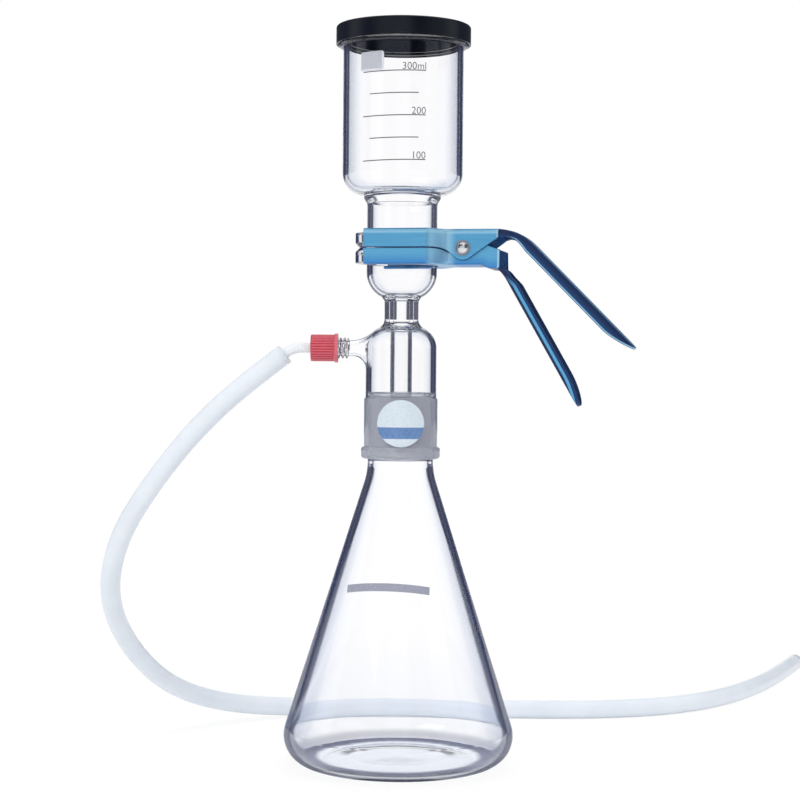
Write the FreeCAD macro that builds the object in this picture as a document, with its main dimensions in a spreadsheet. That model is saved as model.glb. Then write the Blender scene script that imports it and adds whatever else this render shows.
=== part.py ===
"""A laboratory vacuum filtration unit: a one-litre conical flask, a filter head with a threaded
side arm, a graduated cup with a lid, the spring clamp that holds the two flanges together, and
the suction hose. Millimetres. The origin is the centre of the flask's foot, +Z is up, the side
arm points along -X and -Y is the front."""

import FreeCAD, Part
import math
import os

import Sketcher

SIZES = [
    # the conical flask
    ("flask_diameter", 140.6),
    ("flask_heel_radius", 18.5),
    ("flask_cone_angle", 17.65),
    ("flask_wall", 2.6),
    ("flask_base_thickness", 4.5),
    ("flask_neck_blend", 45.0),
    ("flask_neck_land", 0.5),
    ("flask_lip_height", 3.0),
    # the ground joint: large end, length and one-in-ten taper
    ("joint_diameter", 40.0),
    ("joint_length", 38.0),
    ("joint_taper", 0.1),
    ("joint_clearance", 0.05),
    ("joint_bore_wall", 2.8),
    # the filter head
    ("socket_seat", 0.5),
    ("socket_diameter", 45.0),
    ("socket_length", 37.0),
    ("collar_diameter", 48.5),
    ("collar_height", 7.5),
    ("collar_rounding", 2.0),
    ("bell_diameter", 43.2),
    ("bell_wall", 2.0),
    ("bell_height", 30.5),
    ("bell_dome_radius", 13.8),
    ("bell_top_diameter", 25.0),
    ("knuckle_height", 3.4),
    ("stem_diameter", 20.8),
    ("stem_length", 12.6),
    ("drip_diameter", 13.2),
    ("drip_bore", 10.4),
    ("drip_tip_height", 8.5),
    ("drip_seal_width", 2.0),
    ("bowl_radius", 16.7),
    ("bowl_foot_diameter", 24.0),
    ("bowl_foot_height", 2.0),
    ("bowl_wall_height", 5.5),
    ("neck_diameter", 43.0),
    ("neck_wall", 2.1),
    ("flange_diameter", 57.0),
    ("flange_chamfer", 2.6),
    ("head_flange_thickness", 9.5),
    ("frit_diameter", 40.0),
    ("frit_thickness", 4.5),
    ("fused_gap", 0.02),
    # the threaded side arm
    ("arm_height", 30.3),
    ("arm_length", 50.3),
    ("arm_diameter", 9.6),
    ("arm_bore", 6.8),
    ("arm_fillet", 8.0),
    ("arm_root_land", 1.0),
    ("thread_diameter", 12.8),
    ("thread_ridge_width", 1.7),
    ("thread_root_depth", 0.5),
    ("thread_root_land", 1.6),
    ("thread_land", 3.1),
    ("thread_turns", 7),
    # the cup
    ("cup_flange_thickness", 8.8),
    ("cup_neck_length", 18.2),
    ("cup_knuckle_diameter", 47.0),
    ("cup_knuckle_height", 5.0),
    ("cup_diameter", 73.4),
    ("cup_wall", 1.95),
    ("cup_floor_thickness", 2.2),
    ("cup_corner_radius", 13.5),
    ("cup_height", 99.0),
    ("rim_diameter", 79.0),
    ("rim_height", 9.0),
    ("rim_rounding", 1.6),
    # the lid
    ("lid_rim_clearance", 0.4),
    ("lid_skirt_wall", 1.2),
    ("lid_skirt_height", 7.3),
    ("lid_top_thickness", 4.0),
    ("lid_edge_rounding", 1.5),
    ("lid_plug_clearance", 0.6),
    ("lid_plug_wall", 1.8),
    ("lid_plug_depth", 6.5),
    ("lid_recess_depth", 1.8),
    # the screw cap and its seal
    ("cap_diameter", 16.4),
    ("cap_rim_diameter", 17.8),
    ("cap_rim_length", 2.4),
    ("cap_length", 16.7),
    ("cap_end_wall", 2.0),
    ("cap_hole", 9.5),
    ("cap_thread_clearance", 0.25),
    ("cap_edge_rounding", 0.8),
    ("cap_flute_depth", 0.45),
    ("cap_flute_count", 30),
    ("seal_thickness", 3.0),
    ("seal_outer_clearance", 0.2),
    ("seal_inner_clearance", 0.05),
    # the hose connector and the hose
    ("connector_diameter", 6.2),
    ("connector_bore", 4.0),
    ("connector_insertion", 9.0),
    ("connector_bend_radius", 15.0),
    ("barb_length", 5.0),
    ("barb_count", 3),
    ("barb_start", 2.0),
    ("barb_clearance", 0.05),
    ("hose_diameter", 12.5),
    ("hose_bore", 8.0),
    # the clamp
    ("clamp_yaw", 11.6),
    ("clamp_sheet", 1.5),
    ("cut_margin", 5.0),
    ("clamp_seat_clearance", 0.1),
    ("clamp_side_clearance", 0.4),
    ("clamp_fork_clearance", 0.9),
    ("clamp_reach", 19.0),
    ("clamp_shoulder_start", 21.0),
    ("clamp_shoulder_end", 30.0),
    ("clamp_body_half_width", 18.0),
    ("clamp_body_end", 62.0),
    ("clamp_ear_clearance", 0.2),
    ("clamp_parting_gap", 0.3),
    ("clamp_handle_half_width", 11.0),
    ("clamp_corner_radius", 7.0),
    ("parting_dip_start", 2.0),
    ("parting_dip_end", 0.5),
    ("parting_dip_depth", 2.6),
    ("parting_dip_radius", 12.1),
    ("pivot_distance", 40.6),
    ("pivot_drop", 1.1),
    ("pivot_diameter", 5.0),
    ("pivot_clearance", 0.05),
    ("ear_radius", 7.4),
    ("upper_ear_front_angle", -52.0),
    ("upper_ear_back_angle", -125.0),
    ("upper_jaw_end_rise", 6.1),
    ("lower_ear_back_angle", 150.0),
    ("lower_ear_front_angle", 55.0),
    ("lower_ear_inset", 2.2),
    ("lower_ear_notch", 1.1),
    ("lower_ear_slope_length", 6.2),
    ("lower_ear_slope_rise", 1.6),
    ("lower_jaw_end_drop", 0.8),
    ("lower_waist_shift", 1.0),
    ("upper_handle_angle", 45.3),
    ("upper_handle_bend", 27.0),
    ("upper_handle_length", 87.8),
    ("upper_lip_depth", 6.5),
    ("upper_lip_lead", 10.0),
    ("upper_lip_lead_depth", 2.6),
    ("upper_lip_lead_slope", 0.5),
    ("lower_handle_angle", 60.3),
    ("lower_handle_length", 93.0),
    ("lower_handle_step", 3.0),
    ("lower_step_start", 10.5),
    ("lower_step_end", 6.0),
    ("lower_bend_reach", 1.4),
    ("lower_lip_depth", 5.0),
    ("lower_lip_start", 6.0),
    ("lower_lip_full", 9.0),
    ("lip_taper_length", 17.0),
    ("lip_taper_radius", 30.0),
    ("lip_tail", 0.5),
    ("washer_diameter", 9.2),
    ("washer_thickness", 0.6),
    ("washer_clearance", 0.05),
    ("rivet_head_diameter", 7.4),
    ("rivet_head_height", 1.9),
    ("rivet_edge", 0.5),
    ("spring_wire", 1.2),
    ("spring_coil_radius", 4.4),
    ("spring_pitch", 1.4),
    ("spring_turns", 8.5),
    ("spring_leg", 15.0),
    ("spring_clearance", 0.4),
    # the round label
    ("label_diameter", 28.4),
    ("label_lift", 0.2),
    ("label_thickness", 0.15),
    ("label_gap", 0.02),
]

# The route of the hose, from the connector to its bare end. It hangs beside the flask in the
# first points, which are counted from the centre of the side arm's mouth. Then it comes down to
# the table, lies on it behind the flask and runs off to the right.
HOSE_FALL = [
    (-20.7, 0, -3.75),
    (-49.7, 0, -25.75),
    (-76.7, -2, -52.25),
    (-101.7, -1, -83.75),
    (-122.7, 4, -117.25),
]
HOSE_RUN = [
    (-182.5, 22, 101),
    (-175.5, 54, 66),
    (-154, 95, 32),
    (-120, 136, 13),
    (-70, 161.5, 6.25),
    (-9, 167, 6.25),
    (57, 161.5, 6.25),
    (119, 159.5, 6.25),
    (171.5, 169.5, 6.25),
    (213.5, 195, 6.25),
    (247, 234, 6.25),
    (275.5, 283, 6.25),
    (301, 338, 6.25),
    (323, 393, 6.25),
]
# the share of a run that the arc at each of its ends may take
ARC_SHARE = 0.45

doc = FreeCAD.newDocument("vacuum_filtration_unit")
sheet = doc.addObject("Spreadsheet::Sheet", "sizes")
for row, (alias, number) in enumerate(SIZES, start=1):
    sheet.set(f"A{row}", alias)
    sheet.set(f"B{row}", str(number))
    sheet.setAlias(f"B{row}", alias)
doc.recompute()


class Size:
    """A number together with the sheet expression that gives it."""

    def __init__(self, number, text=None):
        self.number = float(number)
        self.text = text or repr(float(number))

    @staticmethod
    def of(other):
        return other if isinstance(other, Size) else Size(other)

    def join(self, other, sign, number):
        return Size(number, f"({self.text} {sign} {Size.of(other).text})")

    def __add__(self, other):
        return self.join(other, "+", self.number + Size.of(other).number)

    def __sub__(self, other):
        return self.join(other, "-", self.number - Size.of(other).number)

    def __mul__(self, other):
        return self.join(other, "*", self.number * Size.of(other).number)

    def __truediv__(self, other):
        return self.join(other, "/", self.number / Size.of(other).number)

    def __neg__(self):
        return Size(-self.number, f"(0 - {self.text})")

    def __radd__(self, other):
        return Size.of(other) + self

    def __rsub__(self, other):
        return Size.of(other) - self

    def __rmul__(self, other):
        return Size.of(other) * self

    def sin(self):
        return Size(math.sin(math.radians(self.number)), f"sin({self.text})")

    def cos(self):
        return Size(math.cos(math.radians(self.number)), f"cos({self.text})")

    def tan(self):
        return Size(math.tan(math.radians(self.number)), f"tan({self.text})")

    def root(self):
        return Size(math.sqrt(self.number), f"sqrt({self.text})")


def size(alias):
    return Size(sheet.get(alias), f"sizes.{alias}")


def bind(thing, prop, value):
    """Ties a property to the sheet, or sets it where the value is a plain number."""
    if isinstance(value, Size):
        thing.setExpression(prop, value.text)
    else:
        setattr(thing, prop, value)


# ---------------------------------------------------------------- sketches and bodies

ORIGIN = (-1, 1)


def draw(sketch, points, arcs=()):
    """Draws a closed outline through points (pairs of sizes). arcs maps the index of a side's
    first point to (radius, centre is on the left of the way along): that side is an arc."""
    arcs = dict(arcs)
    corners = [FreeCAD.Vector(Size.of(a).number, Size.of(b).number, 0) for a, b in points]
    last = len(corners) - 1
    for i, start in enumerate(corners):
        end = corners[0 if i == last else i + 1]
        if i in arcs:
            radius, left = arcs[i]
            sketch.addGeometry(arc_between(start, end, Size.of(radius).number, left), False)
        else:
            sketch.addGeometry(Part.LineSegment(start, end), False)
    for i, (a, b) in enumerate(points):
        before = last if i == 0 else i - 1
        before_end = end_of(before, arcs)
        sketch.addConstraint(Sketcher.Constraint("Coincident", before, before_end, i, start_of(i, arcs)))
        for kind, value, axis in (("DistanceX", a, -2), ("DistanceY", b, -1)):
            value = Size.of(value)
            if value.number == 0 and value.text == repr(0.0):
                rule = Sketcher.Constraint("PointOnObject", i, start_of(i, arcs), axis)
                sketch.addConstraint(rule)
            else:
                rule = Sketcher.Constraint(kind, *ORIGIN, i, start_of(i, arcs), value.number)
                index = sketch.addConstraint(rule)
                sketch.setExpression(f"Constraints[{index}]", value.text)
    for i, (radius, left) in arcs.items():
        radius = Size.of(radius)
        index = sketch.addConstraint(Sketcher.Constraint("Radius", i, radius.number))
        sketch.setExpression(f"Constraints[{index}]", radius.text)


def start_of(i, arcs):
    """An arc of a sketch runs anticlockwise, so one drawn clockwise starts at its own end."""
    return 2 if i in arcs and not arcs[i][1] else 1


def end_of(i, arcs):
    return 3 - start_of(i, arcs)


def arc_between(start, end, radius, left):
    """The shorter arc from start to end, with its centre on the left or right of the way along."""
    middle, along = (start + end) / 2, end - start
    rise = math.sqrt(max(radius**2 - (along.Length / 2) ** 2, 0.0))
    side = FreeCAD.Vector(-along.y, along.x, 0).normalize() * (rise if left else -rise)
    centre = middle + side
    first, second = (start, end) if left else (end, start)
    turn = [math.atan2(p.y - centre.y, p.x - centre.x) for p in (first, second)]
    if turn[1] < turn[0]:
        turn[1] += 2 * math.pi
    circle = Part.Circle(centre, FreeCAD.Vector(0, 0, 1), radius)
    return Part.ArcOfCircle(circle, *turn)


def new_body(label):
    body = doc.addObject("PartDesign::Body", label)
    body.Label = label
    return body


def body_sketch(body, name, plane, points, arcs=(), lift=None, shift=None):
    """A sketch on one of the body's own origin planes. lift moves it up its own Y axis, shift
    out of its plane."""
    sketch = body.newObject("Sketcher::SketchObject", name)
    support = next(f for f in body.Origin.OriginFeatures if f.Role == plane)
    sketch.AttachmentSupport = [(support, "")]
    sketch.MapMode = "FlatFace"
    if lift is not None:
        sketch.setExpression("AttachmentOffset.Base.y", lift.text)
    if shift is not None:
        sketch.setExpression("AttachmentOffset.Base.z", shift.text)
    draw(sketch, points, arcs)
    return sketch


def turn(body, name, sketch, axis="V_Axis", cut=False):
    """Revolves a sketch once round its own axis, to add to the body or to cut from it."""
    before = body.Shape.Volume if cut else 0.0
    feature = body.newObject("PartDesign::Groove" if cut else "PartDesign::Revolution", name)
    feature.Profile = sketch
    feature.ReferenceAxis = (sketch, [axis])
    feature.Angle = 360.0
    doc.recompute()
    if cut and not feature.Shape.Volume < before:
        raise ValueError(f"{name} cuts nothing")
    return feature


# ---------------------------------------------------------------- shared places

joint_radius = size("joint_diameter") / 2
heel = size("flask_heel_radius")
heel_centre = size("flask_diameter") / 2 - heel
cone = size("flask_cone_angle")
heel_end = (heel_centre + heel * cone.cos(), heel + heel * cone.sin())
cone_reach = heel_end[0] + heel_end[1] * cone.tan()
blend_reach = size("flask_neck_blend") * (cone / 2).tan()
neck_corner = (cone_reach - joint_radius) / cone.tan()
neck_top = neck_corner + blend_reach
joint_foot = neck_top + size("flask_neck_land")
joint_top = joint_foot + size("joint_length")
flask_top = joint_top + size("flask_lip_height")

socket_foot = joint_foot + size("socket_seat")
socket_top = socket_foot + size("socket_length")
bell_radius = size("bell_diameter") / 2
bell_inner = bell_radius - size("bell_wall")
drip_radius, drip_bore = size("drip_diameter") / 2, size("drip_bore") / 2
stem_radius = size("stem_diameter") / 2
dome_foot = socket_top + size("bell_height")
dome_radius = size("bell_dome_radius")
dome_centre = bell_radius - dome_radius
dome_end = size("bell_top_diameter") / 2
dome_rise = (dome_radius * dome_radius - (dome_end - dome_centre) * (dome_end - dome_centre)).root()
dome_top = dome_foot + dome_rise
stem_foot = dome_top + size("knuckle_height")
stem_top = stem_foot + size("stem_length")
neck_radius = size("neck_diameter") / 2
neck_bore = neck_radius - size("neck_wall")
bowl_radius = size("bowl_radius")
bowl_centre = neck_radius - bowl_radius
bowl_foot = size("bowl_foot_diameter") / 2
bowl_foot_height = stem_top + size("bowl_foot_height")
bowl_rise = (bowl_radius * bowl_radius - (bowl_foot - bowl_centre) * (bowl_foot - bowl_centre)).root()
bowl_top = bowl_foot_height + bowl_rise
head_flange_foot = bowl_top + size("bowl_wall_height")
flange_plane = head_flange_foot + size("head_flange_thickness")
flange_radius = size("flange_diameter") / 2
chamfer = size("flange_chamfer")
arm_z = socket_top + size("arm_height")
arm_radius, arm_bore = size("arm_diameter") / 2, size("arm_bore") / 2
arm_root = bell_radius + size("arm_fillet") + size("arm_root_land")
cup_flange_top = flange_plane + size("cup_flange_thickness")
cup_floor = cup_flange_top + size("cup_neck_length") + size("cup_knuckle_height")
cup_top = cup_floor + size("cup_height")
cup_radius = size("cup_diameter") / 2
cup_inner = cup_radius - size("cup_wall")
rim_radius = size("rim_diameter") / 2


def taper(height):
    """The radius of the ground joint's cone at a height."""
    return joint_radius - (height - joint_foot) * size("joint_taper") / 2


# ---------------------------------------------------------------- glassware


def make_flask():
    """A blown cone with a rounded heel, a soft neck and the male half of the ground joint."""
    wall, base = size("flask_wall"), size("flask_base_thickness")
    gap, bore_wall = size("joint_clearance"), size("joint_bore_wall")
    inner_heel = heel - wall
    inner_heel_end = (heel_centre + inner_heel * cone.cos(), heel + inner_heel * cone.sin())
    drop = base - wall
    inner_foot = heel_centre + (inner_heel * inner_heel - (inner_heel - drop) * (inner_heel - drop)).root()
    blend = size("flask_neck_blend")
    inner_blend = blend + wall
    # the blend's two ends, on the cone and on the neck
    blend_foot = (joint_radius + blend_reach * cone.sin(), neck_corner - blend_reach * cone.cos())
    inner_neck = joint_radius - wall
    inner_blend_foot = (blend_foot[0] - wall * cone.cos(), blend_foot[1] - wall * cone.sin())
    top_radius = taper(joint_top) - gap
    lip = size("flask_lip_height") / 3
    bore_top = taper(joint_top) - bore_wall
    points = [
        (0, 0),
        (heel_centre, 0),
        heel_end,
        blend_foot,
        (joint_radius, neck_top),
        (joint_radius - gap, joint_foot),
        (top_radius, joint_top),
        (top_radius, flask_top - lip),
        (top_radius - lip, flask_top),
        (bore_top, flask_top),
        (joint_radius - bore_wall, joint_foot),
        (inner_neck, neck_top),
        inner_blend_foot,
        inner_heel_end,
        (inner_foot, base),
        (0, base),
    ]
    arcs = {
        1: (heel, True),
        3: (blend, False),
        7: (lip, True),
        11: (inner_blend, True),
        13: (inner_heel, False),
    }
    body = new_body("flask")
    turn(body, "flask_wall_turn", body_sketch(body, "flask_section", "XZ_Plane", points, arcs))
    return body


def make_filter_head():
    """The bell over the joint: the ground socket, the wall round the drip tube, the dome, and the
    root of the side arm. The arm, the tube and the bowl are fused to it."""
    socket, collar = size("socket_diameter") / 2, size("collar_diameter") / 2
    collar_top = socket_foot + size("collar_height")
    rounding = size("collar_rounding")
    step = (socket - bell_radius) / 2
    outline = [
        (0, socket_foot),
        (collar - rounding, socket_foot),
        (collar, socket_foot + rounding),
        (collar, collar_top - rounding),
        (collar - rounding, collar_top),
        (socket, collar_top),
        (socket, socket_top - step),
        (bell_radius, socket_top + step),
        (bell_radius, dome_foot),
        (dome_end, dome_top),
        (stem_radius, stem_foot),
        (0, stem_foot),
    ]
    arcs = {1: (rounding, True), 3: (rounding, True), 8: (dome_radius, True)}
    body = new_body("filter_head")
    turn(body, "bell_blank", body_sketch(body, "bell_outline", "XZ_Plane", outline, arcs))

    # the root of the side arm, blended into the bell
    root_points = [(-arm_root, 0), (0, 0), (0, arm_radius), (-arm_root, arm_radius)]
    section = body_sketch(body, "root_outline", "XZ_Plane", root_points, lift=arm_z)
    turn(body, "root_blank", section, "H_Axis")
    whole = body.Tip
    edges = [f"Edge{i}" for i, edge in enumerate(whole.Shape.Edges, start=1) if is_arm_foot(edge)]
    fillet = body.newObject("PartDesign::Fillet", "arm_blend")
    fillet.Base = (whole, edges)
    fillet.setExpression("Radius", size("arm_fillet").text)
    doc.recompute()

    # the ground socket, the inside of the bell, and the hole that the drip tube is sealed in
    inner_dome = dome_radius - size("bell_wall")
    seal = drip_radius + size("fused_gap")
    seal_foot = drip_radius + size("drip_seal_width")
    rise = (inner_dome * inner_dome - (seal_foot - dome_centre) * (seal_foot - dome_centre)).root()
    inside = [
        (0, socket_foot),
        (taper(socket_foot), socket_foot),
        (taper(socket_top), socket_top),
        (bell_inner, socket_top + step * 2),
        (bell_inner, dome_foot),
        (seal_foot, dome_foot + rise),
        (seal, dome_foot + rise),
        (seal, stem_foot),
        (0, stem_foot),
    ]
    section = body_sketch(body, "bell_inside", "XZ_Plane", inside, {4: (inner_dome, True)})
    turn(body, "bell_hollow", section, cut=True)

    # the way from the arm into the bell
    inner_end = -(bell_inner + drip_radius) / 2
    inside = [(-arm_root, 0), (inner_end, 0), (inner_end, arm_bore), (-arm_root, arm_bore)]
    section = body_sketch(body, "root_inside", "XZ_Plane", inside, lift=arm_z)
    turn(body, "root_hollow", section, "H_Axis", cut=True)
    return body


def is_arm_foot(edge):
    """Whether an edge is part of the closed curve where the arm enters the bell."""
    box = edge.BoundBox
    in_front = -bell_radius.number - 1 < box.XMax < 0
    reach = arm_radius.number + 1
    return in_front and box.ZMin > arm_z.number - reach and box.ZMax < arm_z.number + reach


def make_side_arm():
    """The threaded tube that the cap is screwed on."""
    mouth = size("arm_length")
    points = [(-mouth, arm_bore), (-arm_root, arm_bore), (-arm_root, arm_radius), (-mouth, arm_radius)]
    body = new_body("side_arm")
    turn(body, "arm_tube", body_sketch(body, "arm_section", "XZ_Plane", points, lift=arm_z), "H_Axis")

    # the ridges of the thread, from the arm's root to just short of its mouth
    ridge, crest = size("thread_ridge_width") / 2, size("thread_diameter") / 2
    place = -(arm_root + size("thread_root_land"))
    length = mouth - size("thread_land") + place
    foot = arm_radius - size("thread_root_depth")
    points = [
        (place + ridge, foot),
        (place + ridge / 2, crest),
        (place - ridge / 2, crest),
        (place - ridge, foot),
    ]
    section = body_sketch(body, "ridge_section", "XZ_Plane", points, lift=arm_z)
    ring = turn(body, "thread_ridge", section, "H_Axis")
    rows = body.newObject("PartDesign::LinearPattern", "thread")
    rows.Originals = [ring]
    rows.Direction = (section, ["H_Axis"])
    rows.Reversed = True
    rows.setExpression("Length", length.text)
    rows.setExpression("Occurrences", size("thread_turns").text)
    body.Tip = rows
    return body


def make_drip_tube():
    """The tube down the middle of the bell, which lets the filtrate fall into the flask."""
    tip = socket_foot + size("drip_tip_height")
    wall = rod("drip_wall", drip_radius, stem_foot - tip, (0, 0, tip))
    return cut_away("drip_tube", wall, rod("drip_inside", drip_bore, stem_foot - tip, (0, 0, tip)))


def make_filter_bowl():
    """The stem, the bowl and the neck under the sintered disc, and the ground flange round it."""
    inner_bowl = bowl_radius - size("neck_wall")
    rise = (inner_bowl * inner_bowl - (drip_bore - bowl_centre) * (drip_bore - bowl_centre)).root()
    seat, seat_floor = size("frit_diameter") / 2, flange_plane - size("frit_thickness")
    points = [
        (drip_bore, stem_foot),
        (stem_radius, stem_foot),
        (stem_radius, stem_top),
        (bowl_foot, bowl_foot_height),
        (neck_radius, bowl_top),
        (neck_radius, head_flange_foot),
        (flange_radius, head_flange_foot),
        (flange_radius, flange_plane - chamfer),
        (flange_radius - chamfer, flange_plane),
        (seat, flange_plane),
        (seat, seat_floor),
        (neck_bore, seat_floor),
        (neck_bore, bowl_top),
        (drip_bore, bowl_top - rise),
    ]
    body = new_body("filter_bowl")
    section = body_sketch(
        body, "bowl_section", "XZ_Plane", points, {3: (bowl_radius, True), 12: (inner_bowl, False)}
    )
    turn(body, "bowl_turn", section)
    return body


def make_frit_disc():
    """The sintered disc, level with the head's flange."""
    disc = doc.addObject("Part::Cylinder", "frit_disc")
    bind(disc, "Radius", size("frit_diameter") / 2 - size("fused_gap"))
    bind(disc, "Height", size("frit_thickness"))
    bind(disc, "Placement.Base.z", flange_plane - size("frit_thickness"))
    return disc


def make_funnel_cup():
    """The graduated cup: a flange and a neck below, a rolled rim above."""
    floor, corner = size("cup_floor_thickness"), size("cup_corner_radius")
    inner_corner = corner - size("cup_wall")
    knuckle = size("cup_knuckle_diameter") / 2
    knuckle_foot = cup_floor - size("cup_knuckle_height")
    rim_foot, rounding = cup_top - size("rim_height"), size("rim_rounding")
    points = [
        (neck_bore, flange_plane),
        (flange_radius - chamfer, flange_plane),
        (flange_radius, flange_plane + chamfer),
        (flange_radius, cup_flange_top),
        (neck_radius, cup_flange_top),
        (neck_radius, knuckle_foot),
        (knuckle, cup_floor - size("cup_knuckle_height") / 3),
        (knuckle, cup_floor),
        (cup_radius - corner, cup_floor),
        (cup_radius, cup_floor + corner),
        (cup_radius, rim_foot),
        (rim_radius - rounding, rim_foot),
        (rim_radius, rim_foot + rounding),
        (rim_radius, cup_top - rounding),
        (rim_radius - rounding, cup_top),
        (cup_inner, cup_top),
        (cup_inner, cup_floor + floor + inner_corner),
        (cup_radius - corner, cup_floor + floor),
        (neck_bore + floor, cup_floor + floor),
        (neck_bore, cup_floor),
    ]
    arcs = {
        8: (corner, True),
        11: (rounding, True),
        13: (rounding, True),
        16: (inner_corner, False),
        18: (floor, True),
    }
    body = new_body("funnel_cup")
    turn(body, "cup_turn", body_sketch(body, "cup_section", "XZ_Plane", points, arcs))
    return body


def make_lid():
    """The push-on lid: a skirt round the rim, a plug ring inside the cup."""
    skirt_inner = rim_radius + size("lid_rim_clearance")
    skirt = skirt_inner + size("lid_skirt_wall")
    skirt_foot = cup_top - size("lid_skirt_height")
    top = cup_top + size("lid_top_thickness")
    rounding = size("lid_edge_rounding")
    plug = cup_inner - size("lid_plug_clearance")
    plug_inner = plug - size("lid_plug_wall")
    plug_foot = cup_top - size("lid_plug_depth")
    recess = cup_top + size("lid_recess_depth")
    points = [
        (0, recess),
        (plug_inner, recess),
        (plug_inner, plug_foot),
        (plug, plug_foot),
        (plug, cup_top),
        (skirt_inner, cup_top),
        (skirt_inner, skirt_foot),
        (skirt, skirt_foot),
        (skirt, top - rounding),
        (skirt - rounding, top),
        (0, top),
    ]
    body = new_body("lid")
    turn(body, "lid_turn", body_sketch(body, "lid_section", "XZ_Plane", points, {8: (rounding, True)}))
    return body


# ---------------------------------------------------------------- side arm fittings


def make_screw_cap():
    """The fluted cap, its rim toward the bell."""
    end = -(size("arm_length") + size("seal_thickness") + size("cap_end_wall"))
    inner_end, mouth = end + size("cap_end_wall"), end + size("cap_length")
    outer, rim = size("cap_diameter") / 2, size("cap_rim_diameter") / 2
    bore = size("thread_diameter") / 2 + size("cap_thread_clearance")
    hole, rounding = size("cap_hole") / 2, size("cap_edge_rounding")
    rim_foot = mouth - size("cap_rim_length")
    points = [
        (end, hole),
        (inner_end, hole),
        (inner_end, bore),
        (mouth, bore),
        (mouth, rim),
        (rim_foot + (rim - outer), rim),
        (rim_foot, outer),
        (end + rounding, outer),
        (end, outer - rounding),
    ]
    body = new_body("screw_cap")
    section = body_sketch(body, "cap_section", "XZ_Plane", points, {7: (rounding, True)}, lift=arm_z)
    turn(body, "cap_turn", section, "H_Axis")

    # one flute along the barrel, then the ring of them
    flute, spare = size("cap_flute_depth"), size("cap_flute_depth") / 2
    groove = [(-flute - spare, outer + spare), (0, outer - flute), (flute + spare, outer + spare)]
    sketch = body_sketch(body, "flute_section", "YZ_Plane", groove, lift=arm_z, shift=rim_foot)
    before = body.Shape.Volume
    cut = body.newObject("PartDesign::Pocket", "flute")
    cut.Profile = sketch
    cut.setExpression("Length", size("cap_length").text)
    doc.recompute()
    if not cut.Shape.Volume < before:
        raise ValueError("the flute cuts nothing")
    ring = body.newObject("PartDesign::PolarPattern", "flutes")
    ring.Originals = [cut]
    ring.Axis = (sketch, ["N_Axis"])
    ring.Angle = 360.0
    ring.setExpression("Occurrences", size("cap_flute_count").text)
    body.Tip = ring
    return body


def along(direction):
    """A rotation that points a primitive's own Z axis along a direction."""
    return FreeCAD.Rotation(FreeCAD.Vector(0, 0, 1), FreeCAD.Vector(*direction))


def put(thing, place, rotation=None):
    """Sets a rotation and binds the three coordinates of a place."""
    thing.Placement = FreeCAD.Placement(FreeCAD.Vector(), rotation or FreeCAD.Rotation())
    for axis, value in zip("xyz", place):
        bind(thing, f"Placement.Base.{axis}", Size.of(value))
    return thing


def rod(name, radius, length, place, direction=(0, 0, 1)):
    thing = doc.addObject("Part::Cylinder", name)
    bind(thing, "Radius", radius)
    bind(thing, "Height", length)
    return put(thing, place, along(direction))


def cut_away(name, base, tool):
    thing = doc.addObject("Part::Cut", name)
    thing.Base, thing.Tool = base, tool
    return thing


def joined(name, pieces):
    thing = doc.addObject("Part::MultiFuse", name)
    thing.Shapes = pieces
    return thing


def shared(name, pieces):
    thing = doc.addObject("Part::MultiCommon", name)
    thing.Shapes = pieces
    return thing


def make_seal_washer():
    """The silicone ring between the cap's end wall and the arm's mouth, round the tube."""
    outer = size("thread_diameter") / 2 + size("cap_thread_clearance") - size("seal_outer_clearance")
    inner = size("connector_diameter") / 2 + size("seal_inner_clearance")
    place = (-size("arm_length"), 0, arm_z)
    ring = rod("seal_blank", outer, size("seal_thickness"), place, (-1, 0, 0))
    hole = rod("seal_hole", inner, size("seal_thickness"), place, (-1, 0, 0))
    return cut_away("seal_washer", ring, hole)


def hose_route():
    """The corners of the hose's route, with the hanging ones in their place below the arm."""
    mouth = FreeCAD.Vector(-size("arm_length").number, 0, arm_z.number)
    return [mouth + FreeCAD.Vector(*p) for p in HOSE_FALL] + [FreeCAD.Vector(*p) for p in HOSE_RUN]


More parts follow.
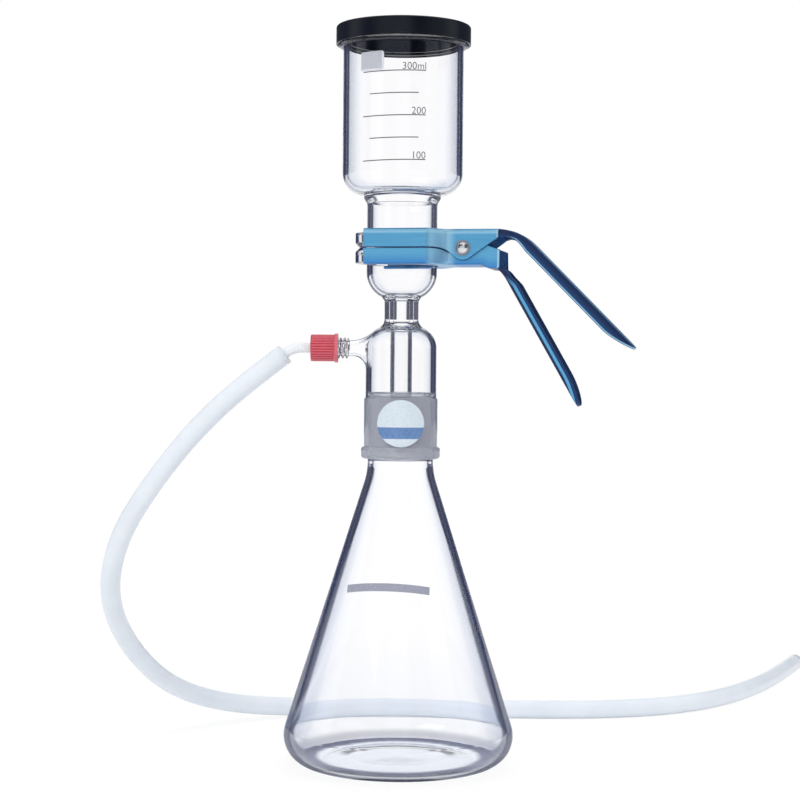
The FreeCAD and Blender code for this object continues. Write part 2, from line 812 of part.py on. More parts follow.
def make_hose_connector():
    """A tube that runs out of the arm, bends down toward the hose and ends in barbs inside it."""
    first, second = hose_route()[:2]
    way = (second - first).normalize()
    bend = Size(math.degrees(math.atan2(-way.z, -way.x)))
    reach = size("connector_bend_radius")
    bare = (arm_z - first.z - reach * (1 - bend.cos())) / bend.sin()
    bend_x = first.x + bare * bend.cos() + reach * bend.sin()
    start_x = size("connector_insertion") - size("arm_length")
    bend_end = (first.x + bare * bend.cos(), 0, first.z + bare * bend.sin())
    barbs = size("barb_start") + size("barb_length") * size("barb_count")
    quarter = FreeCAD.Rotation(
        FreeCAD.Vector(0, 0, 1), FreeCAD.Vector(-1, 0, 0), FreeCAD.Vector(0, -1, 0), "XYZ"
    )

    def tube(name, radius):
        elbow = doc.addObject("Part::Torus", f"{name}_elbow")
        bind(elbow, "Radius1", reach)
        bind(elbow, "Radius2", radius)
        elbow.Angle3 = bend.number
        put(elbow, (bend_x, 0, arm_z - reach), quarter)
        inlet = rod(f"{name}_inlet", radius, start_x - bend_x, (start_x, 0, arm_z), (-1, 0, 0))
        outlet = rod(f"{name}_outlet", radius, bare + barbs, bend_end, way)
        return [inlet, elbow, outlet]

    pieces = tube("connector", size("connector_diameter") / 2)
    crest = size("hose_bore") / 2 - size("barb_clearance")
    for i in range(int(size("barb_count").number)):
        barb = doc.addObject("Part::Cone", f"barb_{i + 1}")
        bind(barb, "Radius1", crest)
        bind(barb, "Radius2", size("connector_diameter") / 2)
        bind(barb, "Height", size("barb_length"))
        offset = size("barb_start") + size("barb_length") * i
        place = (first.x + offset * way.x, 0, first.z + offset * way.z)
        pieces.append(put(barb, place, along(way)))
    bore = joined("connector_inside", tube("bore", size("connector_bore") / 2))
    return cut_away("hose_connector", joined("connector_outside", pieces), bore)


def rounded_path(points):
    """Straight runs joined by tangent arcs, each as large as its two runs allow."""
    edges, last = [], points[0]
    for before, corner, after in zip(points, points[1:], points[2:]):
        into, out = corner - before, after - corner
        half = into.getAngle(out) / 2
        reach = ARC_SHARE * min(into.Length, out.Length)
        into_unit, out_unit = into.normalize(), out.normalize()
        start, end = corner - into_unit * reach, corner + out_unit * reach
        radius = reach / math.tan(half)
        inward = (out_unit - into_unit).normalize()
        middle = corner + inward * (radius / math.cos(half) - radius)
        print(f"hose arc radius {radius:.0f} mm, turn {math.degrees(2 * half):.1f} degrees")
        edges.append(Part.LineSegment(last, start).toShape())
        edges.append(Part.Arc(start, middle, end).toShape())
        last = end
    edges.append(Part.LineSegment(last, points[-1]).toShape())
    return Part.Wire(edges)


def make_hose():
    """The hose, hollow from end to end."""
    path = rounded_path(hose_route())
    start, way = path.Vertexes[0].Point, path.Edges[0].tangentAt(0)
    outer, bore = size("hose_diameter").number / 2, size("hose_bore").number / 2
    tubes = []
    for radius in (outer, bore):
        rim = Part.Wire(Part.makeCircle(radius, start, way))
        tubes.append(path.makePipeShell([rim], True, False))
    hose = doc.addObject("Part::Feature", "hose")
    hose.Shape = tubes[0].cut(tubes[1])
    expected = math.pi * (outer**2 - bore**2) * path.Length
    print(f"hose length {path.Length:.0f} mm, volume {hose.Shape.Volume:.0f} of {expected:.0f} mm3")
    return hose


# ---------------------------------------------------------------- the clamp
# Its pieces are drawn in the clamp's own frame: X runs from the glass axis toward the handles,
# and heights are counted from the plane where the two flanges meet.

yaw = size("clamp_yaw")
thin = size("clamp_sheet")
upper_face = size("cup_flange_thickness") + size("clamp_seat_clearance") + thin
lower_face = -(size("head_flange_thickness") + size("clamp_seat_clearance") + thin)
fork_half = flange_radius + size("clamp_side_clearance") + thin
fork_gap = neck_radius + size("clamp_fork_clearance")
reach_back = size("clamp_reach")
shoulder, waist = size("clamp_shoulder_start"), size("clamp_shoulder_end")
upper_half = size("clamp_body_half_width")
lower_half = upper_half - thin - size("clamp_ear_clearance")
body_end = size("clamp_body_end")
handle_half = size("clamp_handle_half_width")
pivot_x, pivot_z = size("pivot_distance"), -size("pivot_drop")
# the line where the two jaws part dips before it reaches the ears
dip_start, dip_end = shoulder + size("parting_dip_start"), waist + size("parting_dip_end")
dip_depth, dip_radius = size("parting_dip_depth"), size("parting_dip_radius")
# how far a blank or a cutting piece reaches past what it cuts
margin = size("cut_margin")
wide = fork_half * 2 + margin * 2


def in_clamp(thing, x=0, y=0, height=0, rotation=None):
    """Places a piece that is drawn in the clamp's frame."""
    x, y = Size.of(x), Size.of(y)
    turned = FreeCAD.Rotation(FreeCAD.Vector(0, 0, 1), -yaw.number)
    place = (x * yaw.cos() + y * yaw.sin(), y * yaw.cos() - x * yaw.sin(), flange_plane + height)
    return put(thing, place, turned * (rotation or FreeCAD.Rotation()))


def slab(name, points, arcs=(), upright=True):
    """A section drawn in the XZ plane (or the XY plane) and extruded far both ways."""
    sketch = doc.addObject("Sketcher::SketchObject", f"{name}_section")
    if upright:
        sketch.Placement.Rotation = FreeCAD.Rotation(FreeCAD.Vector(1, 0, 0), 90)
    draw(sketch, points, arcs)
    solid = doc.addObject("Part::Extrusion", name)
    solid.Base = sketch
    solid.DirMode = "Normal"
    solid.Solid = True
    solid.Symmetric = True
    bind(solid, "LengthFwd", wide if upright else wide * 4)
    return solid


def mirrored(points):
    """The same points again on the other side of the X axis, in the opposite order."""
    return points + [(x, -y) for x, y in reversed(points)]


def plan(name, half, waist_x, tip):
    """The lever seen from above: the fork, the shoulders, the body and the handle."""
    corner = size("clamp_corner_radius")
    neck = body_end + (upper_half - handle_half)
    side = [
        (fork_gap, 0),
        (0, fork_gap),
        (-reach_back, fork_gap),
        (-reach_back, fork_half),
        (shoulder, fork_half),
        (waist_x, half),
        (body_end, half),
        (neck, handle_half),
        (tip - corner, handle_half),
        (tip, handle_half - corner),
    ]
    points = mirrored(side)[:-1]
    arcs = {0: (fork_gap, True), 8: (corner, False), 10: (corner, False), 18: (fork_gap, True)}
    return slab(name, points, arcs, upright=False)


def band(name, outside, half, waist_x, tip):
    """The strip of the plan along its two sides, one sheet wide, where the lips are folded."""
    slope = Size(math.degrees(math.atan2((fork_half - half).number, (waist_x - shoulder).number)))
    back = thin * (slope / 2).tan()
    neck = body_end + (upper_half - handle_half)
    side = [
        (-reach_back - margin, fork_half - thin),
        (shoulder - back, fork_half - thin),
        (waist_x - back, half - thin),
        (body_end, half - thin),
        (neck, handle_half - thin),
        (tip + margin, handle_half - thin),
    ]
    return cut_away(name, outside, slab(f"{name}_inside", mirrored(side), upright=False))


def lever(name, web, jaw_lips, handle_lips, half, waist_x, tip):
    """One stamped and folded lever: the web, and the lips folded from its sides."""
    outline = plan(f"{name}_plan", half, waist_x, tip)
    sides = band(f"{name}_band", outline, half, waist_x, tip)
    sheet_web = shared(f"{name}_web", [web, outline])
    lips = [shared(f"{name}_lips_{i}", [part, sides]) for i, part in enumerate((jaw_lips, handle_lips))]
    blank = joined(f"{name}_blank", [sheet_web, *lips])
    hole = size("pivot_diameter") / 2 + size("pivot_clearance")
    pin = rod(f"{name}_hole", hole, wide, (pivot_x, wide / 2, pivot_z), (0, -1, 0))
    return in_clamp(cut_away(name, blank, pin))


def on_ear(angle):
    """A point on the edge of the ears, round the pivot."""
    ear = size("ear_radius")
    return (pivot_x + ear * angle.cos(), pivot_z + ear * angle.sin())


def make_upper_lever():
    """The upper jaw with the longer, flatter handle. Its ears lie outside those of the other."""
    angle, bend, length = (size(f"upper_handle_{word}") for word in ("angle", "bend", "length"))
    sine, cosine = angle.sin(), angle.cos()
    foot = (body_end + bend * sine, upper_face - bend * (1 - cosine))

    def on_handle(distance, depth):
        return (
            foot[0] + distance * cosine - depth * sine,
            foot[1] - distance * sine - depth * cosine,
        )

    under = upper_face - thin
    web = [
        (-reach_back, upper_face),
        (body_end, upper_face),
        foot,
        on_handle(length, Size(0)),
        on_handle(length, thin),
        on_handle(Size(0), thin),
        (body_end, under),
        (-reach_back, under),
    ]
    web = slab("upper_web_side", web, {1: (bend, False), 5: (bend - thin, True)})
    jaw = [
        (-reach_back, under + thin / 2),
        (body_end, under + thin / 2),
        (body_end, pivot_z + size("upper_jaw_end_rise")),
        on_ear(size("upper_ear_front_angle")),
        on_ear(size("upper_ear_back_angle")),
        (dip_end, pivot_z - dip_depth),
        (dip_start, pivot_z),
        (-reach_back, pivot_z),
    ]
    jaw = slab("upper_jaw_side", jaw, {3: (size("ear_radius"), False), 5: (dip_radius, True)})
    depth, tail = size("upper_lip_depth"), length - size("lip_tail")
    lead = size("upper_lip_lead")
    lips = [
        on_handle(Size(0), thin / 2),
        on_handle(-lead, size("upper_lip_lead_depth")),
        on_handle(size("upper_lip_lead_slope") - lead, depth),
        on_handle(length - size("lip_taper_length"), depth),
        on_handle(tail, thin),
        on_handle(tail, thin / 2),
    ]
    lips = slab("upper_lip_side", lips, {3: (size("lip_taper_radius"), True)})
    tip = body_end + bend * sine + length * cosine
    return lever("clamp_upper_lever", web, jaw, lips, upper_half, waist, tip)


def make_lower_lever():
    """The lower jaw with the steeper handle, which steps down just before its bend. Its ears lie
    inside those of the upper lever."""
    angle, length = size("lower_handle_angle"), size("lower_handle_length")
    sine, cosine = angle.sin(), angle.cos()
    step = size("lower_handle_step")
    low = lower_face - step
    step_start, step_end = body_end - size("lower_step_start"), body_end - size("lower_step_end")
    bend_x = body_end + size("lower_bend_reach")

    def on_handle(distance, depth):
        return (bend_x + distance * cosine + depth * sine, low - distance * sine + depth * cosine)

    step_slope = Size(math.degrees(math.atan2(step.number, (step_end - step_start).number)))
    shift = thin * (step_slope / 2).tan()
    web = [
        (-reach_back, lower_face),
        (step_start, lower_face),
        (step_end, low),
        (bend_x, low),
        on_handle(length, Size(0)),
        on_handle(length, thin),
        (bend_x + thin * (angle / 2).tan(), low + thin),
        (step_end + shift, low + thin),
        (step_start + shift, lower_face + thin),
        (-reach_back, lower_face + thin),
    ]
    web = slab("lower_web_side", web)
    parting = pivot_z - size("clamp_parting_gap")
    inset = waist + size("lower_ear_inset")
    jaw = [
        (-reach_back, lower_face + thin / 2),
        (-reach_back, parting),
        (dip_start, parting),
        (dip_end, parting - dip_depth),
        (inset, parting - dip_depth - size("lower_ear_notch")),
        (inset, pivot_z),
        on_ear(size("lower_ear_back_angle")),
        on_ear(size("lower_ear_front_angle")),
        (body_end - size("lower_ear_slope_length"), pivot_z + size("lower_ear_slope_rise")),
        (body_end, pivot_z - size("lower_jaw_end_drop")),
        (body_end, low + thin / 2),
        (step_end, low + thin / 2),
        (step_start, lower_face + thin / 2),
    ]
    jaw = slab("lower_jaw_side", jaw, {2: (dip_radius, False), 6: (size("ear_radius"), False)})
    depth, tail = size("lower_lip_depth"), length - size("lip_tail")
    lips = [
        on_handle(size("lower_lip_start"), thin / 2),
        on_handle(size("lower_lip_full"), depth),
        on_handle(length - size("lip_taper_length"), depth),
        on_handle(tail, thin),
        on_handle(tail, thin / 2),
    ]
    lips = slab("lower_lip_side", lips, {2: (size("lip_taper_radius"), False)})
    tip = bend_x + length * cosine + thin * sine
    lower_waist = waist + size("lower_waist_shift")
    return lever("clamp_lower_lever", web, jaw, lips, lower_half, lower_waist, tip)


def toward_front():
    """Turns a piece's own Z axis along the pivot, toward the front."""
    return FreeCAD.Rotation(FreeCAD.Vector(1, 0, 0), 90)


def make_pivot_rivet():
    """The rivet with its two domed heads."""
    under = upper_half + size("washer_thickness") + size("washer_clearance") * 2
    shaft, head = size("pivot_diameter") / 2, size("rivet_head_diameter") / 2
    rise = size("rivet_head_height") - size("rivet_edge")
    dome = (head * head + rise * rise) / (2 * rise)
    side = [(shaft, under), (head, under), (head, under + size("rivet_edge"))]
    top = (0, under + size("rivet_head_height"))
    points = [*side, top, (0, -top[1]), *[(x, -z) for x, z in reversed(side)]]
    body = new_body("clamp_pivot_rivet")
    section = body_sketch(body, "rivet_section", "XZ_Plane", points, {2: (dome, True), 4: (dome, True)})
    turn(body, "rivet_turn", section)
    return in_clamp(body, pivot_x, 0, pivot_z, toward_front())


def make_washer(name, front):
    """A plain washer under one of the rivet's heads."""
    thick = size("washer_thickness")
    inner = upper_half + size("washer_clearance")
    foot = inner if front else -inner - thick
    hole = size("pivot_diameter") / 2 + size("pivot_clearance")
    ring = rod(f"{name}_blank", size("washer_diameter") / 2, thick, (0, 0, foot))
    washer = cut_away(name, ring, rod(f"{name}_hole", hole, thick, (0, 0, foot)))
    return in_clamp(washer, pivot_x, 0, pivot_z, toward_front())


def make_spring():
    """The torsion spring round the rivet, between the ears, with a leg against each web."""
    wire, coil = size("spring_wire").number / 2, size("spring_coil_radius").number
    pitch, turns = size("spring_pitch").number, size("spring_turns").number
    leg, clear = size("spring_leg").number, size("spring_clearance").number
    height = pitch * turns
    helix = Part.makeHelix(pitch, height, coil)
    helix.rotate(FreeCAD.Vector(), FreeCAD.Vector(0, 0, 1), 90)
    low, high = helix.Edges[0].Vertexes[0].Point, helix.Edges[-1].Vertexes[-1].Point
    # the coil starts at its top and ends at its foot, and both legs run toward the handles
    upper_gap = (upper_face - thin - pivot_z).number - clear - wire
    lower_gap = (pivot_z - lower_face - thin).number - clear - wire
    legs = [
        Part.LineSegment(FreeCAD.Vector(leg, upper_gap, low.z), low).toShape(),
        Part.LineSegment(high, FreeCAD.Vector(leg, -lower_gap, high.z)).toShape(),
    ]
    solids = []
    for path in (Part.Wire([legs[0]]), Part.Wire(helix.Edges), Part.Wire([legs[1]])):
        start, way = path.Vertexes[0].Point, path.Edges[0].tangentAt(path.Edges[0].FirstParameter)
        rim = Part.Wire(Part.makeCircle(wire, start, way))
        solids.append(path.makePipeShell([rim], True, True))
    balls = [Part.makeSphere(wire, point) for point in (low, high)]
    spring = doc.addObject("Part::Feature", "clamp_spring")
    spring.Shape = solids[0].multiFuse(solids[1:] + balls).removeSplitter()
    return spring, height


def make_label():
    """The round sticker wrapped on the front of the ground socket."""
    inner = size("socket_diameter") / 2 + size("label_gap")
    outer = inner + size("label_thickness")
    radius = size("label_diameter") / 2
    middle = socket_foot + size("collar_height") + size("label_lift") + radius
    foot = middle - radius * 1.5
    skin = cut_away(
        "label_skin",
        rod("label_outside", outer, radius * 3, (0, 0, foot)),
        rod("label_inside", inner, radius * 3, (0, 0, foot)),
    )
    disc = rod("label_disc", radius, outer * 2, (0, 0, middle), (0, -1, 0))
    return shared("round_label", [skin, disc])


# ---------------------------------------------------------------- the unit


def check(thing):
    """Stops at a failed feature or a shape that is missing or not valid."""
    doc.recompute()
    for item in doc.Objects:
        if "Invalid" in item.State or "Error" in item.State:
            raise ValueError(f"{item.Name}: {item.State}")
    shape = thing.Shape
    if shape.isNull() or not shape.isValid() or len(shape.Solids) != 1:
        raise ValueError(f"{thing.Label}: the shape is not one valid solid")


def main():
    spring, coil_length = make_spring()
    in_clamp(spring, pivot_x, coil_length / 2, pivot_z, toward_front())
    parts = [
        make_flask(),
        make_filter_head(),
        make_side_arm(),
        make_drip_tube(),
        make_filter_bowl(),
        make_frit_disc(),
        make_funnel_cup(),
        make_lid(),
        make_screw_cap(),
        make_seal_washer(),
        make_hose_connector(),
        make_hose(),
        make_upper_lever(),
        make_lower_lever(),
        make_pivot_rivet(),
        make_washer("clamp_washer_front", True),
        make_washer("clamp_washer_back", False),
        spring,
        make_label(),
    ]
    for part in parts:
        part.Label = part.Name
        check(part)
    os.makedirs("parts", exist_ok=True)
    for part in parts:
        part.Shape.exportStep(f"parts/{part.Label}.step")
        print(f"{part.Label}: {part.Shape.Volume:.0f} mm3, {len(part.Shape.Faces)} faces")


main()
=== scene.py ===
"""A laboratory vacuum filtration unit: a conical flask, a filter head with a threaded side arm, a
graduated cup and its lid, the spring clamp that holds the flanges together, and the suction hose.
Sizes are in millimetres. Meshes, and the places that materials read, are in metres."""
from math import cos, pi, radians, sin

import bmesh
import bpy
import numpy as np
from mathutils import Euler, Matrix, Vector


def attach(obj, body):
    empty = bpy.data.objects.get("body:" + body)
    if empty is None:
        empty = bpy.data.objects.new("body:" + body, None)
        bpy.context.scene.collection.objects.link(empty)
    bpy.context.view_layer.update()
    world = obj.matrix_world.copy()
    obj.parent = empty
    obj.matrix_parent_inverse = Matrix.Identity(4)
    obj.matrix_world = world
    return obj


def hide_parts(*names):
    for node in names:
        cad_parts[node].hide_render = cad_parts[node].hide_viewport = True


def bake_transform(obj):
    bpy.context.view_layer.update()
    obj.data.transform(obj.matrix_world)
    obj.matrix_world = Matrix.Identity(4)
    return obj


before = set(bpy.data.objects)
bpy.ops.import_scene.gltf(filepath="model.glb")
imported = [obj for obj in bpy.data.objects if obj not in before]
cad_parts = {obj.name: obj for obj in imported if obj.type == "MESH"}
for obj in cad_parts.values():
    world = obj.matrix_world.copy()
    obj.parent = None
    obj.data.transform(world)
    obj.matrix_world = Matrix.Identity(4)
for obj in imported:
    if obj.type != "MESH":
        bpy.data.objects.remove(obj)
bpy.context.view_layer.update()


# ---------------------------------------------------------------- the camera

# A long lens from straight in front, a little above the middle of the unit. It is tipped slightly
# down and rolled by half a degree.

CAMERA_TIP = radians(0.854)
CAMERA_ROLL = radians(0.46)


def added(name, data):
    """A new object, put in the scene."""
    made = bpy.data.objects.new(name, data)
    bpy.context.scene.collection.objects.link(made)
    return made


camera = added("camera", bpy.data.cameras.new("camera"))
camera.data.lens = 87.6
camera.data.sensor_width = 36.0
camera.location = (-0.0005, -1.191, 0.241)
level = Euler((radians(90) - CAMERA_TIP, 0, 0)).to_matrix()
camera.rotation_euler = (level @ Matrix.Rotation(CAMERA_ROLL, 3, "Z")).to_euler()
bpy.context.scene.camera = camera
bpy.context.scene.view_settings.view_transform = "Standard"


# ---------------------------------------------------------------- the hose

# A length of milky silicone tube, extruded with a round bore. It is pushed over the connector's
# barbs, hangs down beside the flask, lies round behind it and ends cut square, for the pump.

HOSE_ROUTE = (
    (-71, 0, 251), (-100, 0, 229), (-127, -2, 202.5), (-152, -1, 171), (-173, 4, 137.5),
    (-182.5, 22, 101), (-175.5, 54, 66), (-154, 95, 32), (-120, 136, 13), (-70, 161.5, 6.25),
    (-9, 167, 6.25), (57, 161.5, 6.25), (119, 159.5, 6.25), (171.5, 169.5, 6.25),
    (213.5, 195, 6.25), (247, 234, 6.25), (275.5, 283, 6.25), (301, 338, 6.25), (323, 393, 6.25),
)
HOSE_RADIUS = 6.25
HOSE_BORE = 4.0
MERGE_DISTANCE = 0.002


class Wire:
    """A number, colour or vector on its way through a material: one output socket of a node."""

    def __init__(self, tree, socket=None):
        self.tree = tree
        self.socket = socket

    def node(self, kind, inputs=(), out=0, **settings):
        """Adds a node of a kind: its settings first, then the values or links of its sockets."""
        made = self.tree.nodes.new("ShaderNode" + kind)
        for name, value in settings.items():
            setattr(made, name, value)
        for name, value in dict(inputs).items():
            if isinstance(value, Wire):
                self.tree.links.new(value.socket, made.inputs[name])
            else:
                made.inputs[name].default_value = value
        return Wire(self.tree, made.outputs[out])

    def math(self, operation, *others):
        """A Math node on this number and others."""
        return self.node("Math", enumerate((self, *others)), operation=operation)

    def __add__(self, other):
        return self.math("ADD", other)

    def __sub__(self, other):
        return self.math("SUBTRACT", other)

    def __rsub__(self, other):
        return (self * -1.0).math("ADD", other)

    def __mul__(self, other):
        return self.math("MULTIPLY", other)

    def __pow__(self, other):
        return self.math("POWER", other)

    def __abs__(self):
        return self.math("ABSOLUTE")

    __radd__ = __add__
    __rmul__ = __mul__

    def larger(self, other):
        """The larger of two numbers."""
        return self.math("MAXIMUM", other)

    def axes(self):
        """The three numbers of a vector."""
        return [self.node("SeparateXYZ", {0: self}, i) for i in range(3)]

    def step(self, low, high):
        """0 below low, 1 above high, and smooth between them."""
        inputs = {"Value": self, "From Min": low, "From Max": high}
        return self.node("MapRange", inputs, interpolation_type="SMOOTHSTEP")

    def band(self, start, full, fading, end):
        """0 up to start, 1 from full to fading, and 0 again after end."""
        return self.step(start, full) * (1.0 - self.step(fading, end))

    def blend(self, first, second):
        """The first colour where this is 0 and the second where it is 1."""
        first, second = (c if isinstance(c, Wire) else colour(*c) for c in (first, second))
        return self.node("Mix", {0: self, 6: first, 7: second}, 2, data_type="RGBA")


def colour(red, green, blue):
    """A colour given as 0 to 255 in each channel, made linear."""
    share = np.array((red, green, blue)) / 255
    linear = np.where(share <= 0.04045, share / 12.92, ((share + 0.055) / 1.055) ** 2.4)
    return (*linear.tolist(), 1.0)


def new_finish(name):
    """An empty material: its Wire, and a function that ends it with a shader."""
    material = bpy.data.materials.new(name)
    material.use_nodes = True
    material.node_tree.nodes.clear()
    output = material.node_tree.nodes.new("ShaderNodeOutputMaterial")

    def ended(shader):
        material.node_tree.links.new(shader.socket, output.inputs[0])
        return material

    return Wire(material.node_tree), ended


def surface(name, inputs, build):
    """A material of one Principled shader. build gives the sockets whose values vary."""
    start, ended = new_finish(name)
    place = start.node("TexCoord", out=3)
    return ended(start.node("BsdfPrincipled", {**inputs, **build(place)}))


def mottled(mask, first, second, roughness, rise=0.0):
    """A colour that turns to a second one with a mask, and a roughness that rises with it."""
    varied = roughness + rise * mask if rise else roughness
    return {"Base Color": mask.blend(first, second), "Roughness": varied}


def plain(name, inputs, grain, *look):
    """A material mottled by one noise. grain is its cells to the metre, its detail, and the values
    where the mask starts and is full. look is the rest of what mottled takes."""
    scale, detail, low, high = grain
    return surface(name, inputs, lambda p: mottled(noise(p, scale, detail).step(low, high), *look))


def bump(height, strength, distance):
    """The normal of a surface raised by a height, in metres at a height of 1."""
    return height.node("Bump", {"Height": height, "Strength": strength, "Distance": distance})


def noise(place, scale, detail=3.0, stretch=(1, 1, 1)):
    """Soft random numbers round a half, with scale cells to the metre, stretched along an axis."""
    spread = place.node("Mapping", {"Vector": place, "Scale": stretch})
    return place.node("TexNoise", {"Vector": spread, "Scale": scale, "Detail": detail})


def new_piece(name, grids, material, body, replaces=(), middle=(0, 0, 0)):
    """One smooth object from grids of points in metres: rows by columns, with quads between
    neighbours, or a pair of a grid and which of its quads are kept. A point may carry three more
    numbers, for a pattern that follows the surface. Points that meet are merged, so seams and
    poles close, and faces are turned away from the middle: their signed volume about it is the sum
    of a . (b x c) over their triangles."""
    points, quads, count = [], [], 0
    for grid in grids:
        grid, kept = grid if isinstance(grid, tuple) else (grid, None)
        rows, columns, width = grid.shape
        index = count + np.arange(rows * columns).reshape(rows, columns)
        quad = np.stack((index[:-1, :-1], index[:-1, 1:], index[1:, 1:], index[1:, :-1]), -1)
        quads.append(quad.reshape(-1, 4) if kept is None else quad[kept])
        points.append(grid.reshape(-1, width))
        count += rows * columns
    points, quads = np.concatenate(points), np.concatenate(quads)
    corners = points[quads, :3] - middle
    first = np.einsum("ij,ij->i", corners[:, 0], np.cross(corners[:, 1], corners[:, 2]))
    second = np.einsum("ij,ij->i", corners[:, 0], np.cross(corners[:, 2], corners[:, 3]))
    if (first + second).sum() < 0:
        quads = quads[:, ::-1]
    mesh = bpy.data.meshes.new(name)
    mesh.from_pydata(points[:, :3], [], quads)
    if points.shape[1] > 3:
        marks = mesh.attributes.new("marks", "FLOAT_VECTOR", "POINT")
        marks.data.foreach_set("vector", points[:, 3:].astype(np.float32).ravel())
    work = bmesh.new()
    work.from_mesh(mesh)
    bmesh.ops.remove_doubles(work, verts=work.verts, dist=MERGE_DISTANCE / 1000)
    work.to_mesh(mesh)
    work.free()
    mesh.shade_smooth()
    return set_piece(name, mesh, material, body, replaces)


def set_piece(name, mesh, material, body, replaces=()):
    """Puts a mesh in the scene as a piece that rides on a body, or on none."""
    piece = added(name, mesh)
    mesh.materials.append(material)
    if body:
        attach(piece, body)
    if replaces:
        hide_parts(*replaces)
    return piece


def mesh_of(data):
    """The mesh of a curve or of a text, and its points."""
    lying = bpy.data.objects.new(data.name, data)
    mesh = bpy.data.meshes.new_from_object(lying)
    bpy.data.objects.remove(lying)
    places = np.empty(len(mesh.vertices) * 3)
    mesh.vertices.foreach_get("co", places)
    return mesh, places.reshape(-1, 3)


def path_of(points):
    """Points read along a smooth spline that has the given points, in metres, as its controls."""
    curve = bpy.data.curves.new("path", "CURVE")
    curve.dimensions = "3D"
    curve.resolution_u = 12
    spline = curve.splines.new("NURBS")
    spline.points.add(len(points) - 1)
    spline.points.foreach_set("co", np.column_stack((points, np.ones(len(points)))).ravel())
    spline.order_u = 3
    spline.use_endpoint_u = True
    return mesh_of(curve)[1]


def ring_of(path, radius, steps):
    """A round skin along a path: at each point a circle of its radius, in a plane square to the
    path that turns as little as possible from one point to the next."""
    along = np.gradient(path, axis=0)
    along /= np.linalg.norm(along, axis=1, keepdims=True)
    side = np.empty_like(along)
    side[0] = np.cross(along[0], (0, 1, 0))
    for i in range(1, len(path)):
        side[i] = side[i - 1] - along[i] * np.dot(side[i - 1], along[i])
    side /= np.linalg.norm(side, axis=1, keepdims=True)
    up = np.cross(along, side)
    angle = np.linspace(0, 2 * pi, steps + 1)[None, :, None]
    spread = side[:, None] * np.cos(angle) + up[:, None] * np.sin(angle)
    return path[:, None] + spread * np.broadcast_to(radius, len(path))[:, None, None]


def pipe(path, radius, bore, steps):
    """A tube along a path in metres: its outside, its bore, and a flat ring at each end."""
    outside, inside = ring_of(path, radius / 1000, steps), ring_of(path, bore / 1000, steps)
    start, end = np.stack((inside[0], outside[0])), np.stack((outside[-1], inside[-1]))
    return [outside, inside[::-1], start, end]


# painted glow: a faint emission that brightens the milky wall all over, in place of light
# scattered inside it
PAINTED_GLOW = {"Emission Color": colour(226, 238, 255), "Emission Strength": 0.03}

# milky, with a faint unevenness from the extrusion
# the silicone carries the painted glow
milky_silicone = plain(
    "milky_silicone",
    {"IOR": 1.41, "Specular IOR Level": 0.3, **PAINTED_GLOW},
    (45.0, 2.0, 0.25, 0.75), (230, 237, 245), (236, 242, 249), 0.3, 0.06,
)
hose_path = path_of(np.array(HOSE_ROUTE) / 1000)
hose = new_piece(
    "hose_tube",
    pipe(hose_path, HOSE_RADIUS, HOSE_BORE, 40),
    milky_silicone,
    "glassware",
    ["hose"],
)
tuple(hose_path[0])


# ---------------------------------------------------------------- the flask

# A one-litre conical flask, blown in borosilicate glass: a thick flat base with a rounded heel, an
# even wall up the cone, and the male half of a ground joint, frosted outside and clear inside.

FOOT_HOLLOW = ((0, 1.4), (30, 1.2), (42, 0.45), (47, 0))
FLOOR_INSIDE = ((46, 4.1), (36, 4.6), (0, 5.2))
HEEL_CENTRE = 51.8
HEEL_RADIUS = 18.5
CONE_DEGREES = 17.65
WALL = 2.6
NECK_BLEND = 45.0
NECK_RADIUS = 20.0
NECK_TOP = 186.45
JOINT_FOOT = 186.95
JOINT_TOP = 224.95
JOINT_TAPER = 0.05
JOINT_GAP = 0.05
JOINT_WALL = 2.8
FLASK_TOP = 227.95
LIP_ROUNDING = 1.0
LIP_WALL = 2.4
LIP_DROP = 0.5
BLUNT_CORNER = 18
POINT_SPACING = 2.6
POINT_MERGE = 0.02
COLUMNS = 192


def arc(centre, radius, start, end, steps):
    """Points (r, z) on an arc of a section, at centre + radius (cos a, sin a), a in degrees."""
    angle = np.radians(np.linspace(start, end, steps))
    return centre + radius * np.column_stack((np.cos(angle), np.sin(angle)))


def joint_radius(height):
    """The ground cone: one in ten on the diameter, 40 mm across at its foot."""
    return NECK_RADIUS - (height - JOINT_FOOT) * JOINT_TAPER


def eased(section, reach, closed=True):
    """A section with its sharp corners fire-polished: a corner c becomes the curve
    (1-t)^2 a + 2t(1-t) c + t^2 b between a and b, which lie within reach of it on its sides."""
    into, out = section - np.roll(section, 1, 0), np.roll(section, -1, 0) - section
    sizes = np.linalg.norm(into, axis=1), np.linalg.norm(out, axis=1)
    turn = np.arccos(np.clip((into * out).sum(1) / (sizes[0] * sizes[1] + 1e-12), -1, 1))
    sharp = turn > radians(BLUNT_CORNER)
    if not closed:
        sharp[[0, -1]] = False
    cut = np.minimum(reach, 0.4 * np.minimum(*sizes))[:, None, None]
    into, out = into / (sizes[0][:, None] + 1e-12), out / (sizes[1][:, None] + 1e-12)
    share = np.linspace(0, 1, 7)[None, :, None]
    toward = -((1 - share) ** 2) * into[:, None] + share**2 * out[:, None]
    curve = section[:, None] + cut * toward
    curve[~sharp] = section[~sharp, None]
    kept = sharp[:, None] | (np.arange(7) == 3)
    return curve[kept]


def spaced(section):
    """The same section with no two points too far apart or too close."""
    run = np.concatenate(([0], np.linalg.norm(np.diff(section, axis=0), axis=1).cumsum()))
    places = np.union1d(run, np.linspace(0, run[-1], int(run[-1] / POINT_SPACING)))
    places = places[np.concatenate(([True], np.diff(places) > POINT_MERGE))]
    return np.column_stack([np.interp(places, run, section[:, i]) for i in (0, 1)])


def blown(parts, reach):
    """One open section from its parts, fire-polished and with its points spaced."""
    return spaced(eased(np.vstack(parts), reach, closed=False))


